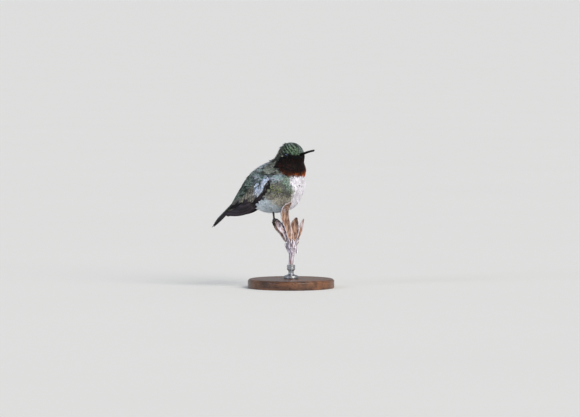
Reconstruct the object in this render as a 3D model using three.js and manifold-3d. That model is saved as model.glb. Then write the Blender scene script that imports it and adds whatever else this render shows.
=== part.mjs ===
// A life-size male ruby-throated hummingbird on the cut tip of a dry seed stem, held by a plain display stand.
// Millimetres, +Z up. The bird's body faces +X and its head is turned to its right, towards -Y.
// The origin is the middle of the stand's underside.
import * as THREE from "three";
import { mergeVertices } from "three/addons/utils/BufferGeometryUtils.js";
import Module from "manifold-3d";

const wasm = await Module();
wasm.setup();

// ---- driving dimensions ----
const GAP = 0.3; // clearance between neighbouring solids
const PERCH_HEIGHT = 46; // height of the bird's own frame, level with its toes, over the base's underside
const MESH_STEP = 2.4; // edge of the cells that the body's surface is drawn through
const FAR = 200; // a size larger than the whole object

const HEAD = { x: -0.2, z: 27.3, turn: -42 }; // middle of the skull, and the head's turn about +Z in degrees

// Fleshy masses with their plumage: centre, radii, pitch in degrees (front end up) and how softly each joins the rest.
// Those of the head are given along the head's own forward axis from its middle.
const HEAD_MASSES = [
  { name: "skull", at: [0.7, 0, 0.3], radii: [7.9, 6.8, 7.3], pitch: 0, blend: 0.1 },
  { name: "face", at: [5.2, 0, -0.8], radii: [5.2, 3.9, 4.2], pitch: 0, blend: 2.5 },
  { name: "throat", at: [1.9, 0, -7.7], radii: [7.4, 7.6, 5.6], pitch: 0, blend: 3.2 },
];
const TRUNK_MASSES = [
  { name: "neck", at: [-5.6, 0, 19.4], radii: [8.7, 8.0, 7.2], pitch: 20, blend: 4.5 },
  { name: "breast", at: [-4.6, 0, 11.6], radii: [12.6, 11.2, 11.2], pitch: -12, blend: 4.0 },
  { name: "underbreast", at: [-2.6, 0, 4.6], radii: [7.4, 6.6, 7.0], pitch: 0, blend: 3.0 },
  { name: "belly", at: [-11.6, 0, 5.6], radii: [12.4, 11.2, 10.0], pitch: -4, blend: 5.0 },
  { name: "mantle", at: [-16.0, 0, 12.6], radii: [10.8, 9.6, 8.2], pitch: 38, blend: 5.0 },
  { name: "rump", at: [-24.4, 0, 5.4], radii: [9.6, 6.4, 5.4], pitch: 50, blend: 5.0 },
  { name: "coverts", at: [-31.2, 0, -0.4], radii: [8.0, 2.9, 2.4], pitch: 50, blend: 3.0 },
];

const BILL = { root: 6.6, face: 8.4, tip: 22.3, rootZ: 0.0, tipZ: 3.75, sag: 0.4, split: 0.06 };
const BILL_SHAPE = { rootWidth: 1.25, tipWidth: 0.52, rootDepth: 1.15, tipDepth: 0.52, flare: 3 };
const EYE = { forward: 3.05, side: 4.88, up: 0.3, radius: 1.75 };

// Folded wing: points of the leading edge as [x, z, y outwards] from the wrist to the tip of the longest primary.
const WING_EDGE = [
  [-5.6, 18.0, 8.6],
  [-10.6, 12.2, 10.7],
  [-14.1, 5.0, 10.7],
  [-17.8, -0.6, 9.2],
  [-22.1, -4.2, 7.6],
  [-27.6, -6.1, 6.3],
  [-37.2, -7.0, 4.9],
];
const WING = { arm: 9.6, lean: 0.042, proud: 0.45, thickArm: 1.5, thickTip: 0.6, rows: 24, columns: 4 };
const PRIMARIES = { count: 10, shortest: 0.52, halfWidth: 1.5, spread: 7.4, taper: 0.16, crowd: 0.55 };

// Tail: ten feathers that lie as a shallow roof, the outer ones longest.
const TAIL = { tip: [-45.9, -11.8], slope: 45.5, length: 27, fork: 6.5, rootHalf: 3.3, tipHalf: 3.9 };
const TAIL_SHAPE = { roof: 1.3, thick: 0.8, pinch: 0.3, pairs: 5, rows: 5, columns: 20 };

// Legs: the ankle and the ball of the foot, the way the foot stands off what it grips, and the line its toes spread along.
const LEGS = {
  right: { hock: [-9.6, -2.9, -2.2], ball: [-9.1, -2.5, -7.75], off: [-0.35, 0, 0.94], along: [0.1, 1, 0] },
  left: { hock: [-6.4, 2.4, -2.4], ball: [-4.9, 0.6, -6.3], off: [-0.75, 0.2, 0.6], along: [0.35, 0.3, 0.85] },
};
const LEG = { hip: 2.2, tarsus: 0.5, toe: 0.4, claw: 0.29, grip: 1.0, reach: 1.7, spread: 1.4 };

// Dry seed pods, split open: points of the keel from foot to tip, the widest half width, where along the pod that is,
// how deep the trough is, the side it is open to, and how far it curls round (degrees each way).
const PODS = {
  left: {
    keel: [[-1.9, 0.5, -20.2], [-3.6, 0.3, -15.8], [-5.9, -0.8, -12.0], [-8.4, -2.1, -8.4]],
    half: 3.2, widest: 0.55, open: [-0.84, -0.52, -0.2], curl: 108, foot: 0.56, tip: 0.84,
  },
  middle: {
    keel: [[-0.3, -1.7, -20.2], [-1.6, -2.2, -12], [-2.7, -3.9, -6.5], [-1.6, -7.4, -1.6], [1.9, -9.3, 2.2]],
    half: 2.7, widest: 0.62, open: [0.6, -0.8, 0.1], curl: 78, foot: 0.5, tip: 0.24,
  },
  right: {
    keel: [[1.7, 0.9, -20.2], [1.8, 0.9, -14.8], [2.0, 0.9, -10.6], [3.0, 0.7, -6.8]],
    half: 2.6, widest: 0.5, open: [0.2, -0.98, 0], curl: 90, foot: 0.62, tip: 0.3,
  },
  far: {
    keel: [[2.5, 2.5, -20.3], [4.2, 3.6, -15.2], [5.2, 3.6, -11.0], [6.3, 3.3, -7.6]],
    half: 1.25, widest: 0.55, open: [0.75, -0.65, 0], curl: 90, foot: 0.6, tip: 0.4,
  },
};
const POD = { wall: 0.6, rows: 7, columns: 5 };

const STEM = { foot: -33, head: -20.8, lean: 0.8, crown: 2.2, crownAt: -21.8 };
const STEM_SHAPE = { radius: 1.5, knot: 0.35, knotAt: -26, sides: 10, rings: 11 };
const TWIGS = {
  stalk: { points: [[-0.5, 0.3, -27.4], [-2.2, 0.5, -24], [-3.2, 0.5, -21.7]], thick: 0.7, thin: 0.8 },
  bract: { points: [[0.9, -0.4, -22.2], [2.8, -0.8, -23.6], [3.6, -0.9, -27.0]], thick: 0.95, thin: 0.4 },
};
const ROD = { radius: 1.5, foot: 4.2, footHeight: 2.0, cup: 2.3, cupHeight: 3.0 };
const BASE = { radius: 24, height: 5, bevel: 0.9, segments: 48 };

// ---- small maths ----
const radians = THREE.MathUtils.degToRad;
const { lerp, clamp, smoothstep } = THREE.MathUtils;

// The point that lies forward, left and up of the middle of the turned head.
function onHead(forward, left, up) {
  const turn = radians(HEAD.turn);
  return new THREE.Vector3(
    HEAD.x + forward * Math.cos(turn) - left * Math.sin(turn),
    forward * Math.sin(turn) + left * Math.cos(turn),
    HEAD.z + up,
  );
}

// Signed distance, near enough, from a point to an ellipsoid.
function ellipsoid(mass, centre, turn) {
  const pitch = radians(mass.pitch);
  const yaw = radians(turn);
  const [rx, ry, rz] = mass.radii;
  return (x, y, z) => {
    const dx = x - centre.x;
    const dy = y - centre.y;
    const dz = z - centre.z;
    const forward = dx * Math.cos(yaw) + dy * Math.sin(yaw);
    const left = -dx * Math.sin(yaw) + dy * Math.cos(yaw);
    const along = forward * Math.cos(pitch) + dz * Math.sin(pitch);
    const up = -forward * Math.sin(pitch) + dz * Math.cos(pitch);
    const near = Math.hypot(along / rx, left / ry, up / rz);
    const steep = Math.hypot(along / rx ** 2, left / ry ** 2, up / rz ** 2);
    return (near * (near - 1)) / Math.max(steep, 1e-9);
  };
}

const MASSES = [
  ...HEAD_MASSES.map((mass) => [ellipsoid(mass, onHead(...mass.at), HEAD.turn), mass.blend]),
  ...TRUNK_MASSES.map((mass) => [ellipsoid(mass, new THREE.Vector3(...mass.at), 0), mass.blend]),
];

// Signed distance to the whole body: the masses joined one after another with soft seams.
function bodyDistance(x, y, z) {
  let joined = null;
  for (const [distance, blend] of MASSES) {
    const next = distance(x, y, z);
    if (joined === null) {
      joined = next;
      continue;
    }
    const share = clamp(0.5 + (0.5 * (next - joined)) / blend, 0, 1);
    joined = lerp(next, joined, share) - blend * share * (1 - share);
  }
  return joined;
}

// How far the body's surface stands out sideways at a place in the X-Z plane, or 0 where there is no body.
function bodyWidth(x, z) {
  let y = 2 * TRUNK_MASSES[1].radii[1];
  while (y > 0) {
    const distance = bodyDistance(x, y, z);
    if (distance < 1e-3) return y;
    y -= 0.7 * distance;
  }
  return 0;
}

// ---- meshes ----
function geometryOf(positions, indices) {
  return new THREE.BufferGeometry()
    .setAttribute("position", new THREE.Float32BufferAttribute(positions, 3))
    .setIndex(indices);
}

// The closed surface where a distance function is zero: one vertex in each grid cell that the surface
// crosses, moved on to the surface, and one quad round each grid edge that it crosses.
function surfaceOf(distance, low, high, step) {
  const counts = low.map((value, axis) => Math.ceil((high[axis] - value) / step) + 1);
  const [nx, ny, nz] = counts;
  const at = (i, j, k) => i + nx * (j + ny * k);
  const place = (i, j, k) => [low[0] + i * step, low[1] + j * step, low[2] + k * step];
  const field = new Float64Array(nx * ny * nz);
  for (let k = 0; k < nz; k++)
    for (let j = 0; j < ny; j++)
      for (let i = 0; i < nx; i++) field[at(i, j, k)] = distance(...place(i, j, k));

  const vertexOf = new Map();
  const positions = [];
  const settle = (x, y, z) => {
    const small = 0.02;
    for (let turn = 0; turn < 4; turn++) {
      const here = distance(x, y, z);
      const slope = [
        (distance(x + small, y, z) - here) / small,
        (distance(x, y + small, z) - here) / small,
        (distance(x, y, z + small) - here) / small,
      ];
      const steep = slope[0] ** 2 + slope[1] ** 2 + slope[2] ** 2;
      x -= (here * slope[0]) / steep;
      y -= (here * slope[1]) / steep;
      z -= (here * slope[2]) / steep;
    }
    return [x, y, z];
  };
  const vertexIn = (i, j, k) => {
    const key = at(i, j, k);
    if (!vertexOf.has(key)) {
      vertexOf.set(key, positions.length / 3);
      const [x, y, z] = place(i + 0.5, j + 0.5, k + 0.5);
      positions.push(...settle(x, y, z));
    }
    return vertexOf.get(key);
  };

  const indices = [];
  const axes = [
    [1, 0, 0],
    [0, 1, 0],
    [0, 0, 1],
  ];
  for (let k = 1; k < nz - 1; k++)
    for (let j = 1; j < ny - 1; j++)
      for (let i = 1; i < nx - 1; i++)
        axes.forEach((along, axis) => {
          const here = field[at(i, j, k)] < 0;
          const there = field[at(i + along[0], j + along[1], k + along[2])] < 0;
          if (here === there) return;
          const u = axes[(axis + 1) % 3];
          const v = axes[(axis + 2) % 3];
          const corner = (a, b) =>
            vertexIn(i - a * u[0] - b * v[0], j - a * u[1] - b * v[1], k - a * u[2] - b * v[2]);
          const ring = [corner(0, 0), corner(1, 0), corner(1, 1), corner(0, 1)];
          if (!here) ring.reverse();
          indices.push(ring[0], ring[1], ring[2], ring[0], ring[2], ring[3]);
        });
  return geometryOf(positions, indices);
}

// A closed tube along a curve. offsetAt(t, angle) gives how far its skin stands off the curve sideways and upwards.
function sweep(curve, rings, sides, offsetAt, upwards = new THREE.Vector3(0, 0, 1)) {
  const positions = [];
  const indices = [];
  for (let ring = 0; ring <= rings; ring++) {
    const t = ring / rings;
    const centre = curve.getPoint(t);
    const ahead = curve.getTangent(t);
    const side = new THREE.Vector3().crossVectors(upwards, ahead).normalize();
    const up = new THREE.Vector3().crossVectors(ahead, side);
    for (let n = 0; n < sides; n++) {
      const [sideways, above] = offsetAt(t, (2 * Math.PI * n) / sides);
      const point = centre.clone().addScaledVector(side, sideways).addScaledVector(up, above);
      positions.push(point.x, point.y, point.z);
    }
  }
  for (let ring = 0; ring < rings; ring++)
    for (let n = 0; n < sides; n++) {
      const a = ring * sides + n;
      const b = ring * sides + ((n + 1) % sides);
      indices.push(a, b, b + sides, a, b + sides, a + sides);
    }
  for (const [ring, turned] of [
    [0, true],
    [rings, false],
  ]) {
    const middle = positions.length / 3;
    const centre = curve.getPoint(ring / rings);
    positions.push(centre.x, centre.y, centre.z);
    for (let n = 0; n < sides; n++) {
      const a = ring * sides + n;
      const b = ring * sides + ((n + 1) % sides);
      indices.push(...(turned ? [middle, b, a] : [middle, a, b]));
    }
  }
  return geometryOf(positions, indices);
}

const round = (radiusAt) => (t, angle) => [
  radiusAt(t) * Math.cos(angle),
  radiusAt(t) * Math.sin(angle),
];

const curveThrough = (points) =>
  new THREE.CatmullRomCurve3(points.map((p) => new THREE.Vector3(...p)), false, "centripetal");

// A closed plate over a grid: faceAt(p, q) gives a point of its outer face and one of its inner face.
function plate(rows, columns, faceAt) {
  const positions = [];
  const indices = [];
  const width = columns + 1;
  const layer = (rows + 1) * width;
  for (const inner of [0, 1])
    for (let row = 0; row <= rows; row++)
      for (let column = 0; column <= columns; column++) {
        const point = faceAt(row / rows, column / columns)[inner];
        positions.push(point.x, point.y, point.z);
      }
  const quad = (a, b, c, d) => indices.push(a, b, c, a, c, d);
  for (let row = 0; row < rows; row++)
    for (let column = 0; column < columns; column++) {
      const a = row * width + column;
      quad(a, a + 1, a + width + 1, a + width);
      quad(layer + a, layer + a + width, layer + a + width + 1, layer + a + 1);
    }
  const rim = [];
  for (let column = 0; column < columns; column++) rim.push(column);
  for (let row = 0; row < rows; row++) rim.push(row * width + columns);
  for (let column = columns; column > 0; column--) rim.push(rows * width + column);
  for (let row = rows; row > 0; row--) rim.push(row * width);
  rim.forEach((a, n) => {
    const b = rim[(n + 1) % rim.length];
    quad(b, a, layer + a, layer + b);
  });
  return geometryOf(positions, indices);
}

// ---- booleans ----
function solid(geometry) {
  const bare = new THREE.BufferGeometry().setAttribute("position", geometry.getAttribute("position"));
  if (geometry.index) bare.setIndex(geometry.index);
  const merged = mergeVertices(bare, 1e-4);
  const triVerts = new Uint32Array(merged.index.array);
  const made = (turned) =>
    new wasm.Manifold(
      new wasm.Mesh({ numProp: 3, vertProperties: merged.attributes.position.array, triVerts: turned }),
    );
  const first = made(triVerts);
  return first.volume() > 0 ? first : made(triVerts.reverse());
}

function geometry(manifold) {
  const mesh = manifold.getMesh();
  return geometryOf([...mesh.vertProperties], [...mesh.triVerts]);
}

const joinAll = (solids) => solids.reduce((whole, next) => whole.add(next));

// The half of space behind a plane through a point, in the bird's X-Z plane; tilt turns it about +Y.
function halfSpace(x, z, tilt, shift) {
  const box = new THREE.BoxGeometry(FAR, FAR, FAR);
  box.translate(0, 0, -FAR / 2 - shift);
  box.rotateY(radians(tilt));
  box.translate(x, 0, z);
  return solid(box);
}

// ---- the body, whole and parted ----
const CUTS = {
  neckTop: { x: -1, z: 22.4, tilt: 14 },
  neckFoot: { x: -3, z: 18.9, tilt: 13 },
  rump: { x: -22.5, z: 4.5, tilt: 62 },
};

function parted(whole) {
  const below = (cut) => halfSpace(cut.x, cut.z, cut.tilt, GAP / 2);
  const above = (cut) => halfSpace(cut.x, cut.z, cut.tilt + 180, GAP / 2);
  const rest = whole.intersect(below(CUTS.neckFoot));
  return {
    head: whole.intersect(above(CUTS.neckTop)),
    neck: whole.intersect(below(CUTS.neckTop)).intersect(above(CUTS.neckFoot)),
    trunk: rest.intersect(above(CUTS.rump)),
    rump: rest.intersect(below(CUTS.rump)),
  };
}

// ---- bill and eyes ----
// The two halves of the bill meet at a seam. upper is 1 above it and -1 below it.
function billHalf(upper, extra) {
  const middle = lerp(BILL.root, BILL.tip, 0.55);
  const rise = (forward) => lerp(BILL.rootZ, BILL.tipZ, (forward - BILL.root) / (BILL.tip - BILL.root));
  const curve = new THREE.QuadraticBezierCurve3(
    onHead(BILL.root, 0, rise(BILL.root)),
    onHead(middle, 0, rise(middle) + 2 * BILL.sag),
    onHead(upper > 0 ? BILL.tip : BILL.tip - 0.3, 0, rise(BILL.tip)),
  );
  const width = (t) => lerp(BILL_SHAPE.tipWidth, BILL_SHAPE.rootWidth, Math.exp(-BILL_SHAPE.flare * t));
  const depth = (t) => lerp(BILL_SHAPE.tipDepth, BILL_SHAPE.rootDepth, Math.exp(-BILL_SHAPE.flare * t));
  return solid(
    sweep(curve, 8, 10, (t, angle) => {
      const swell = Math.max(Math.sin(angle), 0);
      const seam = BILL.split - extra;
      return [
        (width(t) + extra) * Math.cos(angle),
        upper * (seam + (depth(t) - BILL.split + 2 * extra) * swell),
      ];
    }),
  );
}

function eyeball(side, extra) {
  const ball = new THREE.IcosahedronGeometry(EYE.radius + extra, 2);
  ball.translate(...onHead(EYE.forward, side * EYE.side, EYE.up).toArray());
  return solid(ball);
}

// ---- wings and tail ----
// side is 1 for the bird's left and -1 for its right. extra swells the wing, to cut its room out of the body.
function foldedWing(side, extra) {
  const edge = curveThrough(WING_EDGE.map(([x, z, y]) => [x, y, z]));
  const tipOf = (n) => lerp(PRIMARIES.shortest, 1, (n / (PRIMARIES.count - 1)) ** PRIMARIES.crowd);
  const middleOf = (n) => lerp(PRIMARIES.spread, PRIMARIES.halfWidth, n / (PRIMARIES.count - 1));
  const reach = (t) => {
    let low = Infinity;
    let high = -Infinity;
    for (let n = 0; n < PRIMARIES.count; n++) {
      const left = (tipOf(n) - t) / PRIMARIES.taper;
      if (left < 0) continue;
      const half = PRIMARIES.halfWidth * Math.sqrt(clamp(left, 0, 1));
      low = Math.min(low, middleOf(n) - half);
      high = Math.max(high, middleOf(n) + half);
    }
    const arm = WING.arm * Math.sqrt(clamp(t / 0.3, 0.05, 1)) * (1 - smoothstep(t, 0.42, 0.6));
    return [low, Math.max(high, arm)];
  };
  return solid(
    plate(WING.rows, WING.columns, (p, q) => {
      const t = p * 0.995;
      const at = edge.getPointAt(t);
      const ahead = edge.getTangentAt(t).setY(0).normalize();
      const [low, high] = reach(t);
      const across = lerp(low - extra, high + extra, q);
      const x = at.x + ahead.z * across;
      const z = at.z - ahead.x * across;
      const lens = Math.sqrt(Math.max(1 - (2 * q - 1) ** 4, 0.12));
      const half = (lerp(WING.thickArm, WING.thickTip, smoothstep(t, 0.25, 0.75)) / 2) * lens + extra;
      const own = at.y - WING.lean * Math.max(across, 0) ** 2 + half;
      const outer = Math.max(own, bodyWidth(x, z) + WING.proud + extra);
      return [
        new THREE.Vector3(x, side * outer, z),
        new THREE.Vector3(x, side * (outer - 2 * half), z),
      ];
    }),
  );
}

function tailFan(extra) {
  const slope = radians(TAIL.slope);
  const along = new THREE.Vector3(-Math.cos(slope), 0, -Math.sin(slope));
  const up = new THREE.Vector3(-Math.sin(slope), 0, Math.cos(slope));
  const root = new THREE.Vector3(TAIL.tip[0], 0, TAIL.tip[1]).addScaledVector(along, -TAIL.length);
  return solid(
    plate(TAIL_SHAPE.rows, TAIL_SHAPE.columns, (p, q) => {
      const across = 2 * q - 1;
      const step = Math.ceil(Math.abs(across) * TAIL_SHAPE.pairs - 1e-6) / TAIL_SHAPE.pairs;
      const within = Math.abs(across) * TAIL_SHAPE.pairs - step * TAIL_SHAPE.pairs + 0.5;
      const point = 1.6 * within ** 2;
      const reach = TAIL.length - TAIL.fork * (1 - step) - point;
      const distance = p * reach + extra * p;
      const pinch = 1 - TAIL_SHAPE.pinch * smoothstep(p, 0.6, 1) ** 2;
      const half = lerp(TAIL.rootHalf, TAIL.tipHalf, p) * pinch + extra;
      const drop = TAIL_SHAPE.roof * Math.abs(across) ** 1.6 * lerp(0.7, 1, p);
      const thick = TAIL_SHAPE.thick / 2 + extra;
      const base = root
        .clone()
        .addScaledVector(along, distance)
        .addScaledVector(up, -drop - TAIL_SHAPE.thick / 2);
      base.y = half * across;
      return [base.clone().addScaledVector(up, thick), base.clone().addScaledVector(up, -thick)];
    }),
  );
}

// ---- legs ----
const unit = (values) => new THREE.Vector3(...values).normalize();

function leg(name, extra) {
  const { hock, ball, off, along } = LEGS[name];
  const up = unit(off);
  const spread = unit(along);
  spread.addScaledVector(up, -spread.dot(up)).normalize();
  const side = new THREE.Vector3().crossVectors(spread, up);
  const top = new THREE.Vector3(...ball);
  const place = (outwards, sideways, down) =>
    top
      .clone()
      .addScaledVector(side, outwards)
      .addScaledVector(spread, sideways)
      .addScaledVector(up, -down)
      .toArray();
  const toe = (way, fan, length) =>
    sweep(
      curveThrough([
        place(-way * 0.25, 0, 0),
        place(way * LEG.grip * 0.75, fan * 0.5, LEG.grip * 0.3),
        place(way * LEG.grip, fan * 0.8, LEG.grip * 1.1),
        place(way * LEG.grip, fan, LEG.grip + length),
        place(way * LEG.grip * 0.9, fan, LEG.grip + length + 1.1),
      ]),
      6,
      6,
      round((t) => lerp(LEG.toe, LEG.claw, smoothstep(t, 0.6, 0.8)) + extra),
      spread,
    );
  const shin = curveThrough([
    [hock[0], hock[1], hock[2] + LEG.hip],
    hock,
    [lerp(hock[0], ball[0], 0.6), lerp(hock[1], ball[1], 0.6), lerp(hock[2], ball[2], 0.5)],
    ball,
  ]);
  const parts = [
    sweep(shin, 6, 8, round((t) => LEG.tarsus * lerp(1.5, 1, Math.min(t * 2.5, 1)) + extra), unit([1, 0, 0])),
    toe(1, -LEG.spread, LEG.reach * 0.85),
    toe(1, 0, LEG.reach),
    toe(1, LEG.spread, LEG.reach * 0.85),
    toe(-1, 0, LEG.reach * 0.7),
  ];
  return joinAll(parts.map(solid));
}

// ---- perch ----
function pod({ keel, half, widest, open, curl, foot, tip }) {
  const curve = curveThrough(keel);
  const facing = unit(open);
  return solid(
    plate(POD.rows, POD.columns, (p, q) => {
      const centre = curve.getPointAt(p);
      const ahead = curve.getTangentAt(p);
      const outwards = facing.clone().addScaledVector(ahead, -facing.dot(ahead)).normalize();
      const across = new THREE.Vector3().crossVectors(ahead, outwards);
      const rise = p < widest ? lerp(foot, 1, smoothstep(p / widest, 0, 1)) : 1;
      const fall = p > widest ? lerp(1, tip, ((p - widest) / (1 - widest)) ** 2.2) : 1;
      const radius = Math.max((half * rise * fall) / Math.sin(Math.min(radians(curl), Math.PI / 2)), 0.35);
      const angle = radians(curl) * (2 * q - 1);
      const at = (r) =>
        centre
          .clone()
          .addScaledVector(across, r * Math.sin(angle))
          .addScaledVector(outwards, half * 0.4 - r * Math.cos(angle));
      const wall = Math.min(POD.wall, radius * 0.8);
      return [at(radius), at(radius - wall)];
    }),
  );
}

function stem() {
  const line = new THREE.LineCurve3(
    new THREE.Vector3(0, 0, STEM.foot),
    new THREE.Vector3(STEM.lean, 0, STEM.head),
  );
  const { radius, knot, knotAt, sides, rings } = STEM_SHAPE;
  const main = sweep(
    line,
    rings,
    sides,
    (t, angle) => {
      const z = lerp(STEM.foot, STEM.head, t);
      const swell = knot * Math.exp(-(((z - knotAt) / 1.1) ** 2));
      const crown = (STEM.crown - radius) * smoothstep(z, STEM.crownAt - 3.2, STEM.crownAt);
      const ridge = 1 + 0.05 * Math.cos(5 * angle);
      const r = (radius + swell + crown) * ridge;
      return [r * Math.cos(angle), r * Math.sin(angle)];
    },
    new THREE.Vector3(0, 1, 0),
  );
  const twigs = Object.values(TWIGS).map(({ points, thick, thin }) =>
    sweep(curveThrough(points), 5, 7, round((t) => lerp(thick, thin, t)), unit([0, 1, 0])),
  );
  return joinAll([main, ...twigs].map(solid));
}

// ---- stand ----
function turned(profile, segments) {
  const lathe = new THREE.LatheGeometry(profile.map(([r, z]) => new THREE.Vector2(r, z)), segments);
  lathe.rotateX(Math.PI / 2);
  return solid(lathe);
}

function standBase() {
  const { radius, height, bevel, segments } = BASE;
  return turned(
    [[0, 0], [radius, 0], [radius, height - bevel], [radius - bevel, height], [0, height]],
    segments,
  );
}

function standRod(top) {
  const low = BASE.height + GAP;
  return turned(
    [
      [0, low],
      [ROD.foot, low],
      [ROD.foot, low + ROD.footHeight * 0.5],
      [ROD.radius, low + ROD.footHeight],
      [ROD.radius, top - ROD.cupHeight],
      [ROD.cup, top - ROD.cupHeight * 0.6],
      [ROD.cup, top],
      [0, top],
    ],
    24,
  );
}

// ---- the object ----
const part = new THREE.Group();
part.name = "hummingbird";

function add(name, shape, color, lift = PERCH_HEIGHT) {
  const made = geometry(shape);
  made.translate(0, 0, lift);
  made.computeVertexNormals();
  const mesh = new THREE.Mesh(made, new THREE.MeshStandardMaterial({ color, roughness: 0.8 }));
  mesh.name = name;
  part.add(mesh);
}

const SIDES = { left: 1, right: -1 };
const sides = Object.entries(SIDES);
const body = solid(surfaceOf(bodyDistance, [-46, -15, -13], [16, 15, 40], MESH_STEP));
const rooms = joinAll([
  ...sides.flatMap(([name, side]) => [foldedWing(side, GAP), eyeball(side, GAP), leg(name, GAP)]),
  billHalf(1, GAP),
  billHalf(-1, GAP),
  tailFan(GAP),
]);
const fleshColors = { head: 0x4f6b4d, neck: 0x5a2b26, trunk: 0x9a9a8c, rump: 0x4c6a52 };
for (const [name, shape] of Object.entries(parted(body)))
  add(name, shape.subtract(rooms), fleshColors[name]);

add("bill_upper", billHalf(1, 0), 0x1c1a18);
add("bill_lower", billHalf(-1, 0), 0x1c1a18);
add("tail", tailFan(0), 0x1f1f24);
for (const [name, side] of sides) {
  add(`eye_${name}`, eyeball(side, 0), 0x0a0a0c);
  add(`wing_${name}`, foldedWing(side, 0).subtract(tailFan(GAP)), 0x2a2630);
  add(`leg_${name}`, leg(name, 0), 0x201c1a);
}

const feet = joinAll(sides.map(([name]) => leg(name, GAP)));
const pods = Object.fromEntries(Object.entries(PODS).map(([name, shape]) => [name, pod(shape)]));
for (const [name, shape] of Object.entries(pods))
  add(`perch_pod_${name}`, shape.subtract(feet), 0xa58f86);
add("perch_stem", stem(), 0xb3a9a4);

add("stand_rod", standRod(PERCH_HEIGHT + STEM.foot - GAP), 0x9a9ca0, 0);
add("stand_base", standBase(), 0x5a3d28, 0);

export default part;
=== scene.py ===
"""A male ruby-throated hummingbird, life size, on the cut tip of a dry seed stem and a small display stand.

Lengths are in millimetres in the bird's own frame, whose floor is level with z = -46, until a mesh is made:
X is the way the body faces, Y its left and Z up. The head is turned to its right. Meshes are in metres.
"""

import logging
import math
from dataclasses import dataclass, field, fields
from enum import Enum
from functools import cache
from typing import Callable, Iterable, Optional, Sequence

import bpy
import numpy as np
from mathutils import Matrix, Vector, kdtree


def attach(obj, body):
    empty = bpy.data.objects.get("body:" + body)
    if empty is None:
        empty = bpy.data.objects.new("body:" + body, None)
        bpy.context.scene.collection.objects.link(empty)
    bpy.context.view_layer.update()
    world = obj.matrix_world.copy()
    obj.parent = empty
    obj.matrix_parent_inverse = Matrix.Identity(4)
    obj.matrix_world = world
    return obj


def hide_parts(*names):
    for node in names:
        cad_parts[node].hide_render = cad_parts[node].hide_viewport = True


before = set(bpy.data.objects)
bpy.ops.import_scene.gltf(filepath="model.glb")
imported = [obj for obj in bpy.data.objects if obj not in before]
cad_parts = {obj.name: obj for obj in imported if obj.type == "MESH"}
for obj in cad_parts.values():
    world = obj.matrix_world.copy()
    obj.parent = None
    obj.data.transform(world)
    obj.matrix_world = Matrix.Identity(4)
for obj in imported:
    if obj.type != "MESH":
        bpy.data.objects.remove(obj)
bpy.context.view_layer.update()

Array = np.ndarray
Chance = np.random.Generator
Pair = tuple[float, float]
Triple = tuple[float, float, float]
Colour = tuple[int, int, int]
Node, Socket, NodeTree = bpy.types.Node, bpy.types.NodeSocket, bpy.types.NodeTree
Material, Piece = bpy.types.Material, bpy.types.Object
log = logging.getLogger("hummingbird")

MM = 0.001
LIFT = 46.0  # the bird's own frame stands this far over the base's underside
UP = np.array([0.0, 0.0, 1.0])
NUMBER, COLOUR, VECTOR = "NodeSocketFloat", "NodeSocketColor", "NodeSocketVector"


# -------------------- small maths


def vec(*values: float) -> Array:
    """A point or direction as an array."""
    return np.array(values, float)


def unit(values: Array) -> Array:
    """Each vector at length one."""
    return values / np.maximum(np.linalg.norm(values, axis=-1, keepdims=True), 1e-9)


def mix(low: Array | float, high: Array | float, share: Array | float) -> Array:
    """The value that lies a share of the way from low to high."""
    return low + (high - low) * share


def ease(value: Array | float, start: float, stop: float) -> Array:
    """A soft step from 0 at start to 1 at stop; stop may be the smaller."""
    t = np.clip((np.asarray(value, float) - start) / (stop - start), 0.0, 1.0)
    return t * t * (3.0 - 2.0 * t)


def turned(x: Array, y: Array, degrees: float) -> tuple[Array, Array]:
    """Places in a plane, as seen from axes that are turned by an angle."""
    cos, sin = math.cos(math.radians(degrees)), math.sin(math.radians(degrees))
    return x * cos + y * sin, -x * sin + y * cos


def round_end(share: Array, start: float, least: float = 0.03) -> Array:
    """How a tube narrows to a round end, from 1 at the start of that end to almost nothing at its tip."""
    return np.sqrt(np.clip(1 - np.clip((share - start) / (1 - start), 0, 1) ** 2, least, 1))


def side_name(side: int) -> str:
    """The name of the left (1) or right (-1) side."""
    return "left" if side > 0 else "right"


def blob(x: Array, z: Array, centre: Pair, radii: Pair, slant: float) -> Array:
    """A soft oval patch in a side view of the bird.

    Args:
        x: Places along the body.
        z: Heights.
        centre: The patch's middle.
        radii: Its half length and half width.
        slant: The angle of its length over the level, in degrees.

    Returns:
        One in the middle, falling to nothing beyond the radii.
    """
    along, across = turned(x - centre[0], z - centre[1], slant)
    return ease(np.hypot(along / radii[0], across / radii[1]), 1.25, 0.6)


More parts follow.
